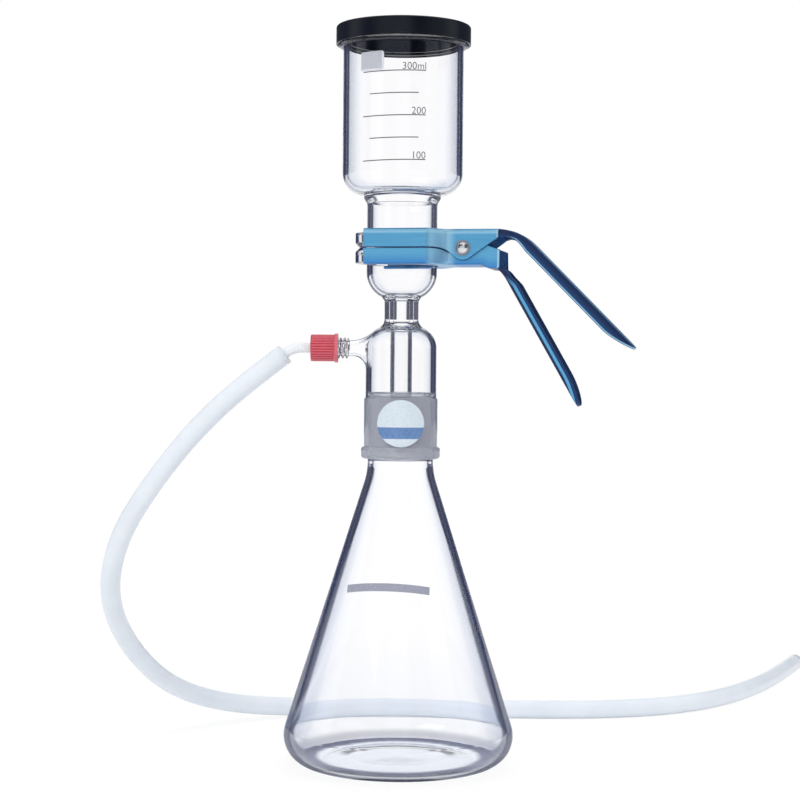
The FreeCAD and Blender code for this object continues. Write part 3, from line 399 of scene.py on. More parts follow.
def turned(section):
    """A section (r, z) carried once round the axis: (r cos a, r sin a, z)."""
    angle = np.linspace(0, 2 * pi, COLUMNS + 1)
    radius, height = section.T[:, :, None] / 1000
    return np.stack((radius * np.cos(angle), radius * np.sin(angle), height + 0 * angle), -1)


def glass_finish(name, line, ground, thick):
    """Clear glass that lets the lamps' light through, matt grey where ground gives a 1. Painted
    shade:
    a navy diffuse and a bluer tint are mixed in where it is seen nearly edge on. line says how far
    from face on, as the shares where the painted darkness rises and where it falls. thick changes
    the painted darkness and the tint with the place, for thick and for frosted glass."""
    start, ended = new_finish(name)
    place = start.node("TexCoord", out=3)
    x, y, z = place.axes()
    radius = (x * x + y * y) ** 0.5
    frost = ground(radius, z)
    facing = place.node("LayerWeight", {"Blend": 0.5}, "Facing")
    rise, fall = line
    # painted shade: a dark edge where the glass is seen nearly edge on
    dark = facing.step(*rise) * (1.0 - 0.78 * facing.step(*fall))
    # the tint deepens toward the edges, and that is painted shade too
    dark, tint = thick(radius, z, dark, facing.step(0.15, 0.7))
    ripple = noise(place, 40.0, 1.0)
    speckle = noise(place, 900.0, 2.0)
    glass = start.node("BsdfPrincipled", {
        "Base Color": tint.blend((254, 254, 255), (226, 232, 245)),
        "Roughness": frost * (0.3 + 0.3 * speckle),
        "IOR": 1.47,
        "Specular IOR Level": 0.1,
        "Specular Tint": (0.3, 0.33, 0.42, 1.0),
        "Transmission Weight": 1.0,
        "Normal": bump(ripple, 0.12, 0.0006),
    })
    # the navy that the dark edge mixes in: a diffuse shader, painted shade and not a colour of the
    # glass
    edge = start.node("BsdfDiffuse", {"Color": colour(46, 54, 92)})
    glass = start.node("MixShader", {0: dark * 0.74, 1: glass, 2: edge})
    grain = speckle.step(0.2, 0.8).blend((178, 181, 191), (196, 199, 208))
    matt = start.node("BsdfDiffuse", {"Color": grain})
    glass = start.node("MixShader", {0: frost * 0.62, 1: glass, 2: matt})
    clear = start.node("BsdfTransparent", {"Color": (0.93, 0.94, 0.96, 1.0)})
    lamp_ray = start.node("LightPath", out="Is Shadow Ray")
    return ended(start.node("MixShader", {0: lamp_ray, 1: glass, 2: clear}))


def flask_ground(radius, z):
    """The joint's outside: between its foot and its top, further out than the middle of its
    wall, which is half a wall inside the cone."""
    middle = (NECK_RADIUS - JOINT_WALL / 2) / 1000 + JOINT_FOOT / 1000 * JOINT_TAPER
    outside = (radius + z * JOINT_TAPER - middle).step(0.0, 0.0002)
    return outside * z.band(0.1870, 0.1876, 0.2245, 0.2251)


def flask_thick(radius, z, dark, tint):
    """Painted shade: the flat base is kept clear of the dark edge, the heel, where the glass is
    thick, is painted darker all round, and the wall's tint is painted deeper toward its foot."""
    # painted shade: a dark band round the heel
    heel = z.band(0.0020, 0.0045, 0.0065, 0.0105) * radius.step(0.054, 0.057)
    wall = radius.step(0.047, 0.053).larger(z.step(0.006, 0.012))
    # painted shade: the tint deepens toward the foot
    low = 0.12 - 0.12 * z.step(0.015, 0.100)
    return (dark * wall).larger(heel * 0.28), tint.larger(low)


heel_at, blend_at = (HEEL_CENTRE, HEEL_RADIUS), (NECK_RADIUS + NECK_BLEND, NECK_TOP)
top_radius = joint_radius(JOINT_TOP)
flask_section = blown((
    FOOT_HOLLOW,
    arc(heel_at, HEEL_RADIUS, -90, CONE_DEGREES, 40),
    arc(blend_at, NECK_BLEND, 180 + CONE_DEGREES, 180, 16),
    [(joint_radius(JOINT_FOOT) - JOINT_GAP, JOINT_FOOT), (top_radius - JOINT_GAP, JOINT_TOP)],
    arc((top_radius - JOINT_GAP - LIP_ROUNDING, FLASK_TOP - LIP_ROUNDING), LIP_ROUNDING, 0, 90, 8),
    [(top_radius - LIP_WALL, FLASK_TOP), (top_radius - JOINT_WALL, FLASK_TOP - LIP_DROP)],
    [(NECK_RADIUS - JOINT_WALL, JOINT_FOOT)],
    arc(blend_at, NECK_BLEND + WALL, 180, 180 + CONE_DEGREES, 16),
    arc(heel_at, HEEL_RADIUS - WALL, CONE_DEGREES, -60, 30),
    FLOOR_INSIDE,
), reach=0.4)
new_piece(
    "flask_glass",
    [turned(flask_section)],
    glass_finish("clear_glass", ((0.61, 0.70), (0.84, 0.95)), flask_ground, flask_thick),
    "glassware",
    ["flask"],
)


BAR_LENGTH = 53.0
BAR_HEIGHT = 4.8
BAR_TURN = radians(-11.2)
BAR_MIDDLE = 112.9
PRINT_LIFT = 0.06
FILM = 0.04


def printed(piece):
    """Gives a print its thickness, outward."""
    film = piece.modifiers.new("film", "SOLIDIFY")
    film.thickness = FILM / 1000
    film.offset = 1


# a bar for writing on. It is a straight strip on the flat development of the cone, whose apex is
# r / sin c away from a point at radius r, so its ends fall as it wraps round
cone = radians(CONE_DEGREES)
apex = HEEL_RADIUS * (1 + sin(cone)) + (HEEL_CENTRE + HEEL_RADIUS * cos(cone)) / np.tan(cone)
sideways, upward = np.meshgrid(
    np.linspace(-BAR_LENGTH / 2, BAR_LENGTH / 2, 49),
    (apex - BAR_MIDDLE) / cos(cone) + np.linspace(BAR_HEIGHT / 2, -BAR_HEIGHT / 2, 7),
)
slant = np.hypot(sideways, upward)
turn = BAR_TURN + np.arctan2(sideways, upward) / sin(cone)
radius = slant * sin(cone) + PRINT_LIFT
bar = np.stack((radius * np.sin(turn), -radius * np.cos(turn), apex - slant * cos(cone)), -1)
bar /= 1000
# grey violet enamel with pinholes
enamel = plain("grey_enamel", {}, (1400.0, 2.0, 0.28, 0.42), (200, 202, 214), (160, 162, 180), 0.6)
printed(new_piece("flask_writing_bar", [bar], enamel, "glassware"))


# ---------------------------------------------------------------- the filter head

# Lampworked from several tubes and fused into one: the bell with the ground socket, the drip tube
# sealed through its dome, the waisted stem, the bowl with its ground flange, and the side arm,
# which is drawn out of the bell in a wide fillet and ends in a screw thread.

SOCKET_FOOT = 187.45
SOCKET_TOP = 224.45
SOCKET_RADIUS = 22.5
SOCKET_STEP = 0.45
COLLAR_RADIUS = 24.25
COLLAR_HEIGHT = 7.5
COLLAR_ROUNDING = 2.0
BELL_RADIUS = 21.6
BELL_WALL = 2.0
DOME_FOOT = 254.95
DOME_CENTRE = 7.8
DOME_RADIUS = 13.8
DOME_TOP_RADIUS = 12.9
DRIP_RADIUS = 6.6
DRIP_BORE = 5.2
DRIP_TIP = 195.95
DRIP_SEAL = 266.72
STEM_RADIUS = 10.4
STEM_FLARE = 5.0
STEM_FOOT = 272.3
STEM_TOP = 283.6
BOWL_FOOT = (12.0, 285.93)
BOWL_CENTRE = (4.8, 301.0)
BOWL_RADIUS = 16.7
BOWL_INSIDE = 14.6
BOWL_FLOOR = 286.0
GLASS_NECK = 21.5
FLANGE_FOOT = 306.5
FLANGE_PLANE = 316.0
FLANGE_RADIUS = 28.5
FLANGE_CHAMFER = 2.6
FLANGE_BORE = 19.4
BOWL_FOOT_DEGREES = -64.46
BOWL_FLOOR_DEGREES = -88.4
SEAL_REACH = 0.8
SOCKET_HALF_WALL = 1.2
FRIT_RADIUS = 20.0
FRIT_FOOT = 311.5
ARM_Z = 254.75
ARM_RADIUS = 4.8
ARM_BORE = 3.4
ARM_MOUTH = 50.3
ARM_LIP = 0.4
ARM_FILLET = 8.0
ARM_FILLET_INSIDE = 9.4
ARM_FLARE = 12.0
THREAD_START = 31.4
THREAD_END = 48.0
THREAD_PITCH = 2.5
THREAD_HEIGHT = 1.6
THREAD_SIDE = 1.75
THREAD_FADE = 1.2

# the opening in the bell: heights, and columns either side of -X
WINDOW = np.linspace(238.5, 265.9, 28)
WINDOW_HALF = 17


def bell_at(height, wall):
    """The radius of the bell, or of its inside at a wall's depth: a tube, and a round shoulder
    sqrt(R^2 - (z - foot)^2) out from the shoulder's centre."""
    rise = np.maximum(height - DOME_FOOT, 0)
    return DOME_CENTRE + np.sqrt((DOME_RADIUS - wall) ** 2 - rise**2)


def head_ground(radius, z):
    """The socket's inside, as far as the middle of its wall, and the ring of the flange that is
    ground flat. The clear glass just over the socket is painted a matt grey, the socket's grey
    seen through it."""
    middle = (NECK_RADIUS + SOCKET_HALF_WALL) / 1000 + JOINT_FOOT / 1000 * JOINT_TAPER
    inside = (middle - (radius + z * JOINT_TAPER)).step(0.0, 0.0002)
    socket = inside * (1.0 - z.step(0.2240, 0.2246)) * radius.step(0.0165, 0.0168)
    past_bore = radius.step(0.0204, 0.0206)
    face = z.step(0.31585, 0.31595) * past_bore
    # painted: matt grey on the clear glass just above the socket, for the socket's grey seen
    # through it
    above = z.band(0.2243, 0.2248, 0.2258, 0.2290) * (1.0 - past_bore)
    return socket.larger(face).larger(above * 0.55)


def head_thick(radius, z, dark, tint):
    """Frosted glass has no painted dark edge, so there is little of it below the joint's top. The
    dome and the thread, which are seen edge on nearly all over, get less painted shade, as does
    the stem."""
    dark = dark * (0.25 + 0.75 * z.step(0.2238, 0.2250))
    dark = dark * (1.0 - 0.6 * z.band(0.259, 0.263, 0.2675, 0.2695))
    thread = radius.step(0.030, 0.032) * (1.0 - z.step(0.29, 0.30))
    return dark * (1.0 - 0.65 * thread) * (1.0 - 0.45 * z.band(0.270, 0.272, 0.285, 0.287)), tint


collar_middle = COLLAR_RADIUS - COLLAR_ROUNDING
dome_at = (DOME_CENTRE, DOME_FOOT)
outer_dome_end = np.degrees(np.arccos((DOME_TOP_RADIUS - DOME_CENTRE) / DOME_RADIUS))
inner_dome_end = np.degrees(np.arccos(SEAL_REACH / (DOME_RADIUS - BELL_WALL)))
window_end = [
    np.degrees(np.arcsin((WINDOW[-1] - DOME_FOOT) / (DOME_RADIUS - wall)))
    for wall in (0, BELL_WALL)
]
skirt_outside = blown((
    [(joint_radius(SOCKET_FOOT), SOCKET_FOOT)],
    arc((collar_middle, SOCKET_FOOT + COLLAR_ROUNDING), COLLAR_ROUNDING, -90, 0, 8),
    arc((collar_middle, SOCKET_FOOT + COLLAR_HEIGHT - COLLAR_ROUNDING), COLLAR_ROUNDING, 0, 90, 8),
    [(SOCKET_RADIUS, SOCKET_FOOT + COLLAR_HEIGHT), (SOCKET_RADIUS, SOCKET_TOP - SOCKET_STEP)],
    [(BELL_RADIUS, SOCKET_TOP + SOCKET_STEP), (BELL_RADIUS, WINDOW[0])],
), reach=0.35)
bell_outside = np.column_stack((bell_at(WINDOW, 0), WINDOW))
over_window = blown((
    arc(dome_at, DOME_RADIUS, window_end[0], outer_dome_end, 7),
    arc((STEM_RADIUS + STEM_FLARE, STEM_FOOT), STEM_FLARE, 240, 180, 9),
    [(STEM_RADIUS, STEM_TOP), BOWL_FOOT],
    arc(BOWL_CENTRE, BOWL_RADIUS, BOWL_FOOT_DEGREES, 0, 22),
    [(GLASS_NECK, FLANGE_FOOT), (FLANGE_RADIUS, FLANGE_FOOT)],
    [(FLANGE_RADIUS, FLANGE_PLANE - FLANGE_CHAMFER)],
    [(FLANGE_RADIUS - FLANGE_CHAMFER, FLANGE_PLANE), (FRIT_RADIUS, FLANGE_PLANE)],
    [(FRIT_RADIUS, FRIT_FOOT), (FLANGE_BORE, FRIT_FOOT)],
    arc(BOWL_CENTRE, BOWL_INSIDE, 0, BOWL_FLOOR_DEGREES, 22),
    [(DRIP_BORE, BOWL_FLOOR), (DRIP_BORE, DRIP_TIP)],
    [(DRIP_RADIUS, DRIP_TIP), (DRIP_RADIUS, DRIP_SEAL)],
    arc(dome_at, DOME_RADIUS - BELL_WALL, inner_dome_end, window_end[1], 10),
), reach=0.6)
bell_inside = np.column_stack((bell_at(WINDOW[::-1], BELL_WALL), WINDOW[::-1]))
skirt_inside = blown((
    [(BELL_RADIUS - BELL_WALL, WINDOW[0])],
    [(BELL_RADIUS - BELL_WALL, SOCKET_TOP + 2 * SOCKET_STEP)],
    [(joint_radius(SOCKET_TOP), SOCKET_TOP), (joint_radius(SOCKET_FOOT), SOCKET_FOOT)],
), reach=0.35)

# the edge of the window, once round: angles from the -X side, and heights
half = WINDOW_HALF * 2 * pi / COLUMNS
side = np.linspace(-half, half, 2 * WINDOW_HALF + 1)
low, high = np.full(side.size, WINDOW[0]), np.full(side.size, WINDOW[-1])
rise = np.full(WINDOW.size - 1, half)
edge_turn = np.concatenate((side[:-1], rise, side[:0:-1], -rise, side[:1]))
edge_height = np.concatenate((low[:-1], WINDOW[:-1], high[:-1], WINDOW[:0:-1], low[:1]))


def arm_root(wall, tube, ball, turn):
    """The branch from the bell to the arm: a ball rolls in the corner, its centre C one radius off
    both skins, and it is larger over the arm, where the glass is drawn out wide. The skin follows
    the ball from where it touches the arm to where it touches the bell, and then the bell to the
    window's edge. turn is the angle round the arm. Gives the rows from the arm to the window, and
    the arm's last row."""
    ball = ball + ARM_FLARE * np.maximum(np.sin(turn), 0) ** 1.5
    reach = tube + ball
    c_y, c_z = reach * np.cos(turn), ARM_Z + reach * np.sin(turn)
    rise = np.maximum(c_z - DOME_FOOT, 0)
    shell = DOME_RADIUS - wall + ball
    c_r = DOME_CENTRE + np.sqrt(shell**2 - rise**2)
    c_x = -np.sqrt(c_r**2 - c_y**2)
    centre = np.stack((c_x, c_y, c_z), -1)
    to_arm = -np.stack((0 * turn, np.cos(turn), np.sin(turn)), -1)
    out = (c_r - DOME_CENTRE) / c_r
    out = np.stack((c_x * out, c_y * out, rise), -1)
    to_bell = -out / np.linalg.norm(out, axis=1, keepdims=True)
    sweep = np.arccos(np.clip((to_arm * to_bell).sum(1), -1, 1))[:, None]
    share = np.linspace(0, 1, 13)[:, None, None]
    touch = np.sin((1 - share) * sweep) * to_arm + np.sin(share * sweep) * to_bell
    fillet = centre + ball[:, None] * (touch / np.sin(sweep))
    foot = fillet[-1]
    foot_turn, foot_height = np.arctan2(foot[:, 1], -foot[:, 0]), foot[:, 2]
    share = np.linspace(0, 1, 7)[1:, None]
    skin_turn = foot_turn + share * (edge_turn - foot_turn)
    height = foot_height + share * (edge_height - foot_height)
    radius = bell_at(height, wall)
    skin = np.stack((-radius * np.cos(skin_turn), radius * np.sin(skin_turn), height), -1)
    return np.concatenate((fillet, skin)) / 1000, fillet[0]


def smooth_step(value):
    """3 v^2 - 2 v^3 for v held between 0 and 1."""
    value = np.clip(value, 0, 1)
    return value * value * (3 - 2 * value)


arm_turn = np.unwrap(np.arctan2(edge_height - ARM_Z, BELL_RADIUS * np.sin(edge_turn)))
arm_outside, outer_foot = arm_root(0, ARM_RADIUS, ARM_FILLET, arm_turn)
arm_inside, inner_foot = arm_root(BELL_WALL, ARM_BORE, ARM_FILLET_INSIDE, arm_turn)


def arm_rows(along, radius):
    """Rows round the arm: at a distance along -X, a circle of the given radius."""
    y, z = radius * np.cos(arm_turn), ARM_Z + radius * np.sin(arm_turn)
    return np.stack(np.broadcast_arrays(-along, y, z), -1) / 1000


# the thread is one ridge that winds along the arm: its place in the turn gives its height
thread_ends = THREAD_START - ARM_LIP, ARM_MOUTH - ARM_LIP
along = np.arange(*thread_ends, 0.16)[:, None]
phase = (along - THREAD_START) / THREAD_PITCH - arm_turn / (2 * pi)
off_crest = np.abs(phase - np.round(phase)) * THREAD_PITCH
ridge = smooth_step(THREAD_SIDE - off_crest * THREAD_SIDE)
fade = smooth_step((along - THREAD_START) / THREAD_FADE)
fade = fade * smooth_step((THREAD_END - along) / THREAD_FADE)
lip_turn = np.linspace(0, pi, 7)[1:, None]
lip_along = thread_ends[1] + ARM_LIP * np.sin(lip_turn)
lip_radius = (ARM_RADIUS + ARM_BORE) / 2 + (ARM_RADIUS - ARM_BORE) / 2 * np.cos(lip_turn)
arm_tube = np.concatenate((
    (outer_foot / 1000)[None],
    arm_rows(along, ARM_RADIUS + THREAD_HEIGHT * ridge * fade),
    arm_rows(lip_along, lip_radius),
    arm_rows(np.linspace(*thread_ends[::-1], 12)[1:, None], ARM_BORE),
    (inner_foot / 1000)[None],
))

# the wall outside and inside, less the window's quads in both
parts = (skirt_outside[:-1], bell_outside, over_window[1:-1], bell_inside, skirt_inside[1:])
whole_wall = np.concatenate(parts)
kept = np.ones((len(whole_wall) - 1, COLUMNS), bool)
inner_start = sum(len(part) for part in parts[:3])
for first_row in (len(parts[0]), inner_start):
    rows = slice(first_row, first_row + len(WINDOW) - 1)
    kept[rows, COLUMNS // 2 - WINDOW_HALF : COLUMNS // 2 + WINDOW_HALF] = False
new_piece(
    "head_glass",
    [(turned(whole_wall), kept), arm_outside, arm_tube[::-1], arm_inside[::-1]],
    glass_finish("head_glass", ((0.60, 0.69), (0.79, 0.92)), head_ground, head_thick),
    "glassware",
    ["filter_head", "side_arm", "drip_tube", "filter_bowl"],
)


# ---------------------------------------------------------------- the sintered disc and the label

# A disc of glass grains, sintered until they hold together, is fused into the bowl level with its
# flange. The label is a round film, printed with a blue band and stuck on the ground socket.


def dress(node, material):
    """Gives a piece that is already in place its finish."""
    mesh = bpy.data.objects[node].data
    mesh.materials.clear()
    mesh.materials.append(material)


def sinter_look(place):
    """White grains with dark pores between them."""
    cells = place.node("TexVoronoi", {"Vector": place, "Scale": 1600.0})
    grain = mottled(cells.step(0.15, 0.75), (250, 250, 250), (214, 217, 222), 0.9)
    return {**grain, "Normal": bump(cells, 0.5, 0.0003)}


def label_look(place):
    """Pale blue white film with a blue band across its lower part, and a weave of ink dots."""
    band = place.axes()[2].band(0.20003, 0.20018, 0.20696, 0.20711)
    ink = noise(place, 700.0, 2.0).step(0.3, 0.7)
    paper = ink.blend((214, 228, 240), (224, 235, 244))
    blue = ink.blend((92, 130, 184), (106, 143, 194))
    return {"Base Color": band.blend(paper, blue), "Roughness": 0.3 + 0.1 * ink}


dress("frit_disc", surface("sintered_glass", {}, sinter_look))
dress("round_label", surface("label_film", {"Coat Weight": 0.3}, label_look))


# ---------------------------------------------------------------- the side arm's fittings

# A fluted cap of red plastic presses a silicone ring against the arm's mouth. The connector runs
# through both: a bent tube of milky polypropylene whose three barbs hold the hose.

CAP_RADIUS = 8.2
FLUTE_DEPTH = 0.45
CONNECTOR_RADIUS = 3.1
CONNECTOR_BORE = 2.0
CONNECTOR_INSERTION = 9.0
BEND_RADIUS = 15.0
BARB_CREST = 3.95
BARB_LENGTH = 5.0
BARB_START = 2.0
BARB_COUNT = 3


def cap_look(place):
    """Red plastic, with painted highlights: paler on the crests between the flutes and on the
    rim's edge.
    """
    _, y, z = place.axes()
    height = z - ARM_Z / 1000
    radius = (y * y + height * height) ** 0.5
    foot, top = (CAP_RADIUS - FLUTE_DEPTH * share for share in (0.55, 0.1))
    # painted highlights: the crests and the rim's edge are blended toward a pale pink
    crest = radius.step(foot / 1000, top / 1000)
    rim = radius.step((CAP_RADIUS + 0.1) / 1000, (CAP_RADIUS + 0.6) / 1000)
    cloud = noise(place, 260.0).step(0.3, 0.7)
    red = cloud.blend((194, 58, 74), (204, 68, 84))
    red = (crest * 0.5).blend(red, (230, 122, 136))
    return {"Base Color": (rim * 0.5).blend(red, (226, 120, 132)), "Roughness": 0.34 + 0.1 * cloud}


dress("screw_cap", surface("red_plastic", {"Specular IOR Level": 0.45}, cap_look))

# white silicone with a bloom of talc, and milky plastic, a little denser in places
talc = (900.0, 3.0, 0.3, 0.7), (226, 228, 230), (240, 241, 242), 0.5, 0.1
milk = (120.0, 1.0, 0.25, 0.75), (240, 245, 251), (246, 249, 253), 0.24, 0.05
dress("seal_washer", plain("silicone", {}, *talc))

# the tube's line: straight out of the arm, a round bend down to the hose, and straight into it
hose_start, hose_second = np.array(HOSE_ROUTE[0]), np.array(HOSE_ROUTE[1])
into_hose = (hose_second - hose_start) / np.linalg.norm(hose_second - hose_start)
bend_angle = np.arctan2(-into_hose[2], -into_hose[0])
bend_drop = BEND_RADIUS * (1 - cos(bend_angle))
bare = (ARM_Z - hose_start[2] - bend_drop) / sin(bend_angle)
bend_x = hose_start[0] + bare * cos(bend_angle) + BEND_RADIUS * sin(bend_angle)
inlet = np.linspace(CONNECTOR_INSERTION - ARM_MOUTH, bend_x, 12)
straight = np.stack((inlet, 0 * inlet, ARM_Z + 0 * inlet), -1)
sweep = np.linspace(0, bend_angle, 25)[1:]
elbow_z = ARM_Z - BEND_RADIUS * (1 - np.cos(sweep))
elbow = np.stack((bend_x - BEND_RADIUS * np.sin(sweep), 0 * sweep, elbow_z), -1)
outlet = np.linspace(0, bare + BARB_START + BARB_LENGTH * BARB_COUNT, 90)[1:]
connector_path = np.concatenate((straight, elbow, elbow[-1] + outlet[:, None] * into_hose))

# each barb rises at once to its crest and falls evenly to the next
past_mouth = (connector_path - hose_start) @ into_hose - BARB_START
in_barb = (past_mouth % BARB_LENGTH) / BARB_LENGTH
rise = np.where(past_mouth > 0, smooth_step(in_barb * 12) * (1 - in_barb), 0)
swelling = CONNECTOR_RADIUS + (BARB_CREST - CONNECTOR_RADIUS) * rise
new_piece(
    "connector_tube",
    pipe(connector_path / 1000, swelling, CONNECTOR_BORE, 32),
    # the connector carries the painted glow too
    plain("clear_plastic", {"IOR": 1.49, **PAINTED_GLOW}, *milk),
    "glassware",
    ["hose_connector"],
)


# ---------------------------------------------------------------- the cup

# The graduated cup: a ground flange and a short neck, sealed to the floor of a wide blown cylinder
# with a rolled rim. Its scale and its patch for writing on are printed in enamel and fired.

CUP_FLANGE_TOP = 324.8
KNUCKLE = ((GLASS_NECK, 343.0), (22.6, 344.6), (23.5, 346.4))
CUP_FLOOR = 348.0
CUP_RADIUS = 36.7
CUP_CORNER = 13.5
CUP_WALL = 1.95
CUP_FLOOR_THICKNESS = 2.2
CUP_TOP = 447.0
RIM_RADIUS = 39.5
RIM_FOOT = 438.0
RIM_ROUNDING = 1.6


def cup_ground(radius, z):
    """The face of the flange."""
    return (1.0 - z.step(0.31605, 0.31615)) * radius.step(0.0196, 0.0198)


def cup_thick(radius, z, dark, tint):
    """The blown corner is thin, so its painted dark edge is paler."""
    return dark * (0.5 + 0.5 * z.step(0.350, 0.368)), tint


corner_foot = CUP_RADIUS - CUP_CORNER
corner_inside = CUP_CORNER - CUP_WALL
rim_middle = RIM_RADIUS - RIM_ROUNDING
floor_top = CUP_FLOOR + CUP_FLOOR_THICKNESS
cup_section = eased(np.vstack((
    [(FLANGE_BORE, FLANGE_PLANE), (FLANGE_RADIUS - FLANGE_CHAMFER, FLANGE_PLANE)],
    [(FLANGE_RADIUS, FLANGE_PLANE + FLANGE_CHAMFER), (FLANGE_RADIUS, CUP_FLANGE_TOP)],
    [(GLASS_NECK, CUP_FLANGE_TOP), *KNUCKLE, (KNUCKLE[-1][0], CUP_FLOOR)],
    arc((corner_foot, CUP_FLOOR + CUP_CORNER), CUP_CORNER, -90, 0, 24),
    [(CUP_RADIUS, RIM_FOOT)],
    arc((rim_middle, RIM_FOOT + RIM_ROUNDING), RIM_ROUNDING, -90, 0, 8),
    arc((rim_middle, CUP_TOP - RIM_ROUNDING), RIM_ROUNDING, 0, 90, 8),
    [(CUP_RADIUS - CUP_WALL, CUP_TOP)],
    arc((corner_foot, floor_top + corner_inside), corner_inside, 0, -90, 24),
    arc((FLANGE_BORE + CUP_FLOOR_THICKNESS, CUP_FLOOR), CUP_FLOOR_THICKNESS, 90, 180, 8),
)), reach=0.6)
new_piece(
    "cup_glass",
    [turned(spaced(np.vstack((cup_section, cup_section[:1]))))],
    glass_finish("cup_glass", ((0.66, 0.71), (0.76, 0.86)), cup_ground, cup_thick),
    "glassware",
    ["funnel_cup"],
)


VOLUMES = (300, 250, 200, 150, 100)
HEIGHT_OF_100 = 366.5
HEIGHT_OF_50_MORE = 13.2
LONG_LINE = (-40.3, 21.4)
SHORT_LINE = (-32.8, 14.5)
LINE_HALF = 0.3
DIGIT_HEIGHT = 4.3
DIGIT_WIDTH = 0.98
FONT_DIGIT = 0.7
TEXT_RISE = 0.55
PRINT_LEAN = 0.016
PATCH_TURN = (-43.6, -18.4)
PATCH_HEIGHTS = (419.9, 431.3)
PATCH_CORNER = 1.6
PATCH_X = CUP_RADIUS * sin(radians(sum(PATCH_TURN) / 2))
PATCH_Z = sum(PATCH_HEIGHTS) / 2


def patch_look(place):
    """Matt pale enamel to write on, with a paler rim."""
    x, _, z = place.axes()
    beside = abs(x - PATCH_X / 1000).step(0.0059, 0.0062)
    above = abs(z - PATCH_Z / 1000).step(0.0049, 0.0052)
    field = noise(place, 900.0, 2.0).step(0.3, 0.7).blend((186, 188, 200), (198, 200, 210))
    return mottled(beside.larger(above), field, (224, 226, 233), 0.6)


def on_cup(turn, height):
    """Points on the cup, at an angle from the front and a height: (R sin a, -R cos a, z). The
    stencil was put on with a slight lean, up to the right."""
    radius = CUP_RADIUS + PRINT_LIFT
    height = height + PRINT_LEAN * CUP_RADIUS * (turn - radians(LONG_LINE[1]))
    places = np.broadcast_arrays(radius * np.sin(turn), -radius * np.cos(turn), height)
    return np.stack(places, -1) / 1000


# grey enamel, a little worn
ink = plain("grey_ink", {}, (1500.0, 2.0, 0.25, 0.6), (112, 112, 118), (84, 85, 92), 0.6)
for volume in VOLUMES:
    height = HEIGHT_OF_100 + (volume - 100) / 50 * HEIGHT_OF_50_MORE
    ends = SHORT_LINE if volume % 100 else LONG_LINE
    turn = np.radians(np.linspace(*ends, 60))[None]
    stroke = on_cup(turn, height + np.array([[-LINE_HALF], [0], [LINE_HALF]]))
    printed(new_piece(f"line_{volume}", [stroke], ink, "glassware"))
    if volume % 100:
        continue
    # the numerals, set flat, then wrapped round the cup with their right edge over the line's end
    writing = bpy.data.curves.new("numerals", "FONT")
    writing.body = f"{volume}ml" if volume == VOLUMES[0] else str(volume)
    writing.offset = -0.004
    writing.resolution_u = 4
    mesh, flat = mesh_of(writing)
    flat *= DIGIT_HEIGHT / FONT_DIGIT
    flat[:, 0] *= DIGIT_WIDTH
    turn = radians(LONG_LINE[1]) + (flat[:, 0] - flat[:, 0].max()) / CUP_RADIUS
    wrapped = on_cup(turn, height + TEXT_RISE + flat[:, 1])
    mesh.vertices.foreach_set("co", wrapped.astype(np.float32).ravel())
    mesh.update()
    printed(set_piece(f"numerals_{volume}", mesh, ink, "glassware"))

# the patch: rows whose ends draw in by r - sqrt(r^2 - d^2) in the corners
rows = np.linspace(*PATCH_HEIGHTS, 41)[:, None]
to_end = np.minimum(rows - PATCH_HEIGHTS[0], PATCH_HEIGHTS[1] - rows)
inward = np.maximum(PATCH_CORNER - to_end, 0)
drawn_in = (PATCH_CORNER - np.sqrt(PATCH_CORNER**2 - inward**2)) / CUP_RADIUS
low, high = np.radians(PATCH_TURN)
share = np.linspace(0, 1, 25)[None]
patch = on_cup(low + drawn_in + share * (high - low - 2 * drawn_in), rows)
pale_enamel = surface("pale_enamel", {}, patch_look)
printed(new_piece("cup_writing_patch", [patch], pale_enamel, "glassware"))


# ---------------------------------------------------------------- the lid

# Moulded in black plastic: a plain disc whose skirt fits over the cup's rolled rim, with a short
# plug that keeps it in the middle. It only rests there.


def lid_look(place):
    """Black plastic with a blue cast and a fine moulded grain."""
    cloud = noise(place, 30.0, 1.0).step(0.2, 0.8)
    grain = noise(place, 2500.0, 2.0)
    return {
        **mottled(cloud, (13, 17, 27), (20, 24, 36), 0.24, 0.08),
        "Normal": bump(grain, 0.1, 0.0001),
    }


dress("lid", surface("black_plastic", {"Specular IOR Level": 0.18}, lid_look))


# ---------------------------------------------------------------- the clamp's levers

# Two levers stamped from blue anodised aluminium sheet. Each is a fork that reaches round the
# neck, a body between its ears, and a handle bent down, with lips folded from both sides.

CLAMP_TURN = radians(11.6)
SHEET = 1.5
FOLD = 2.2
WORN_EDGE = 0.3
FORK_HALF = 30.4
FORK_GAP = 22.4
FORK_BACK = -17.5
SHOULDER = 20
BODY_END = 62.0
PIVOT_X, PIVOT_Z = 40.6, 314.9
EAR_RADIUS = 7.4
UPPER_FACE, LOWER_FACE = 326.4, 304.9
UPPER_HALF, LOWER_HALF = 18.0, 16.3
UPPER_RUN, LOWER_RUN = 171.2, 156.6
UPPER_JAW_END = 321.0
HANDLE_HALF = 11.0
TIP_CORNER = 7.0
TAPER = 21
EAR_SHARE = 0.72

# each lever's bends: where on the run they start and end, and their degrees
UPPER_BENDS = ((58.6, 86.8, 45.3),)
LOWER_BENDS = ((51.2, 53.2, 33.7), (54.8, 56.8, -33.7), (57.6, 66.6, 60.3))

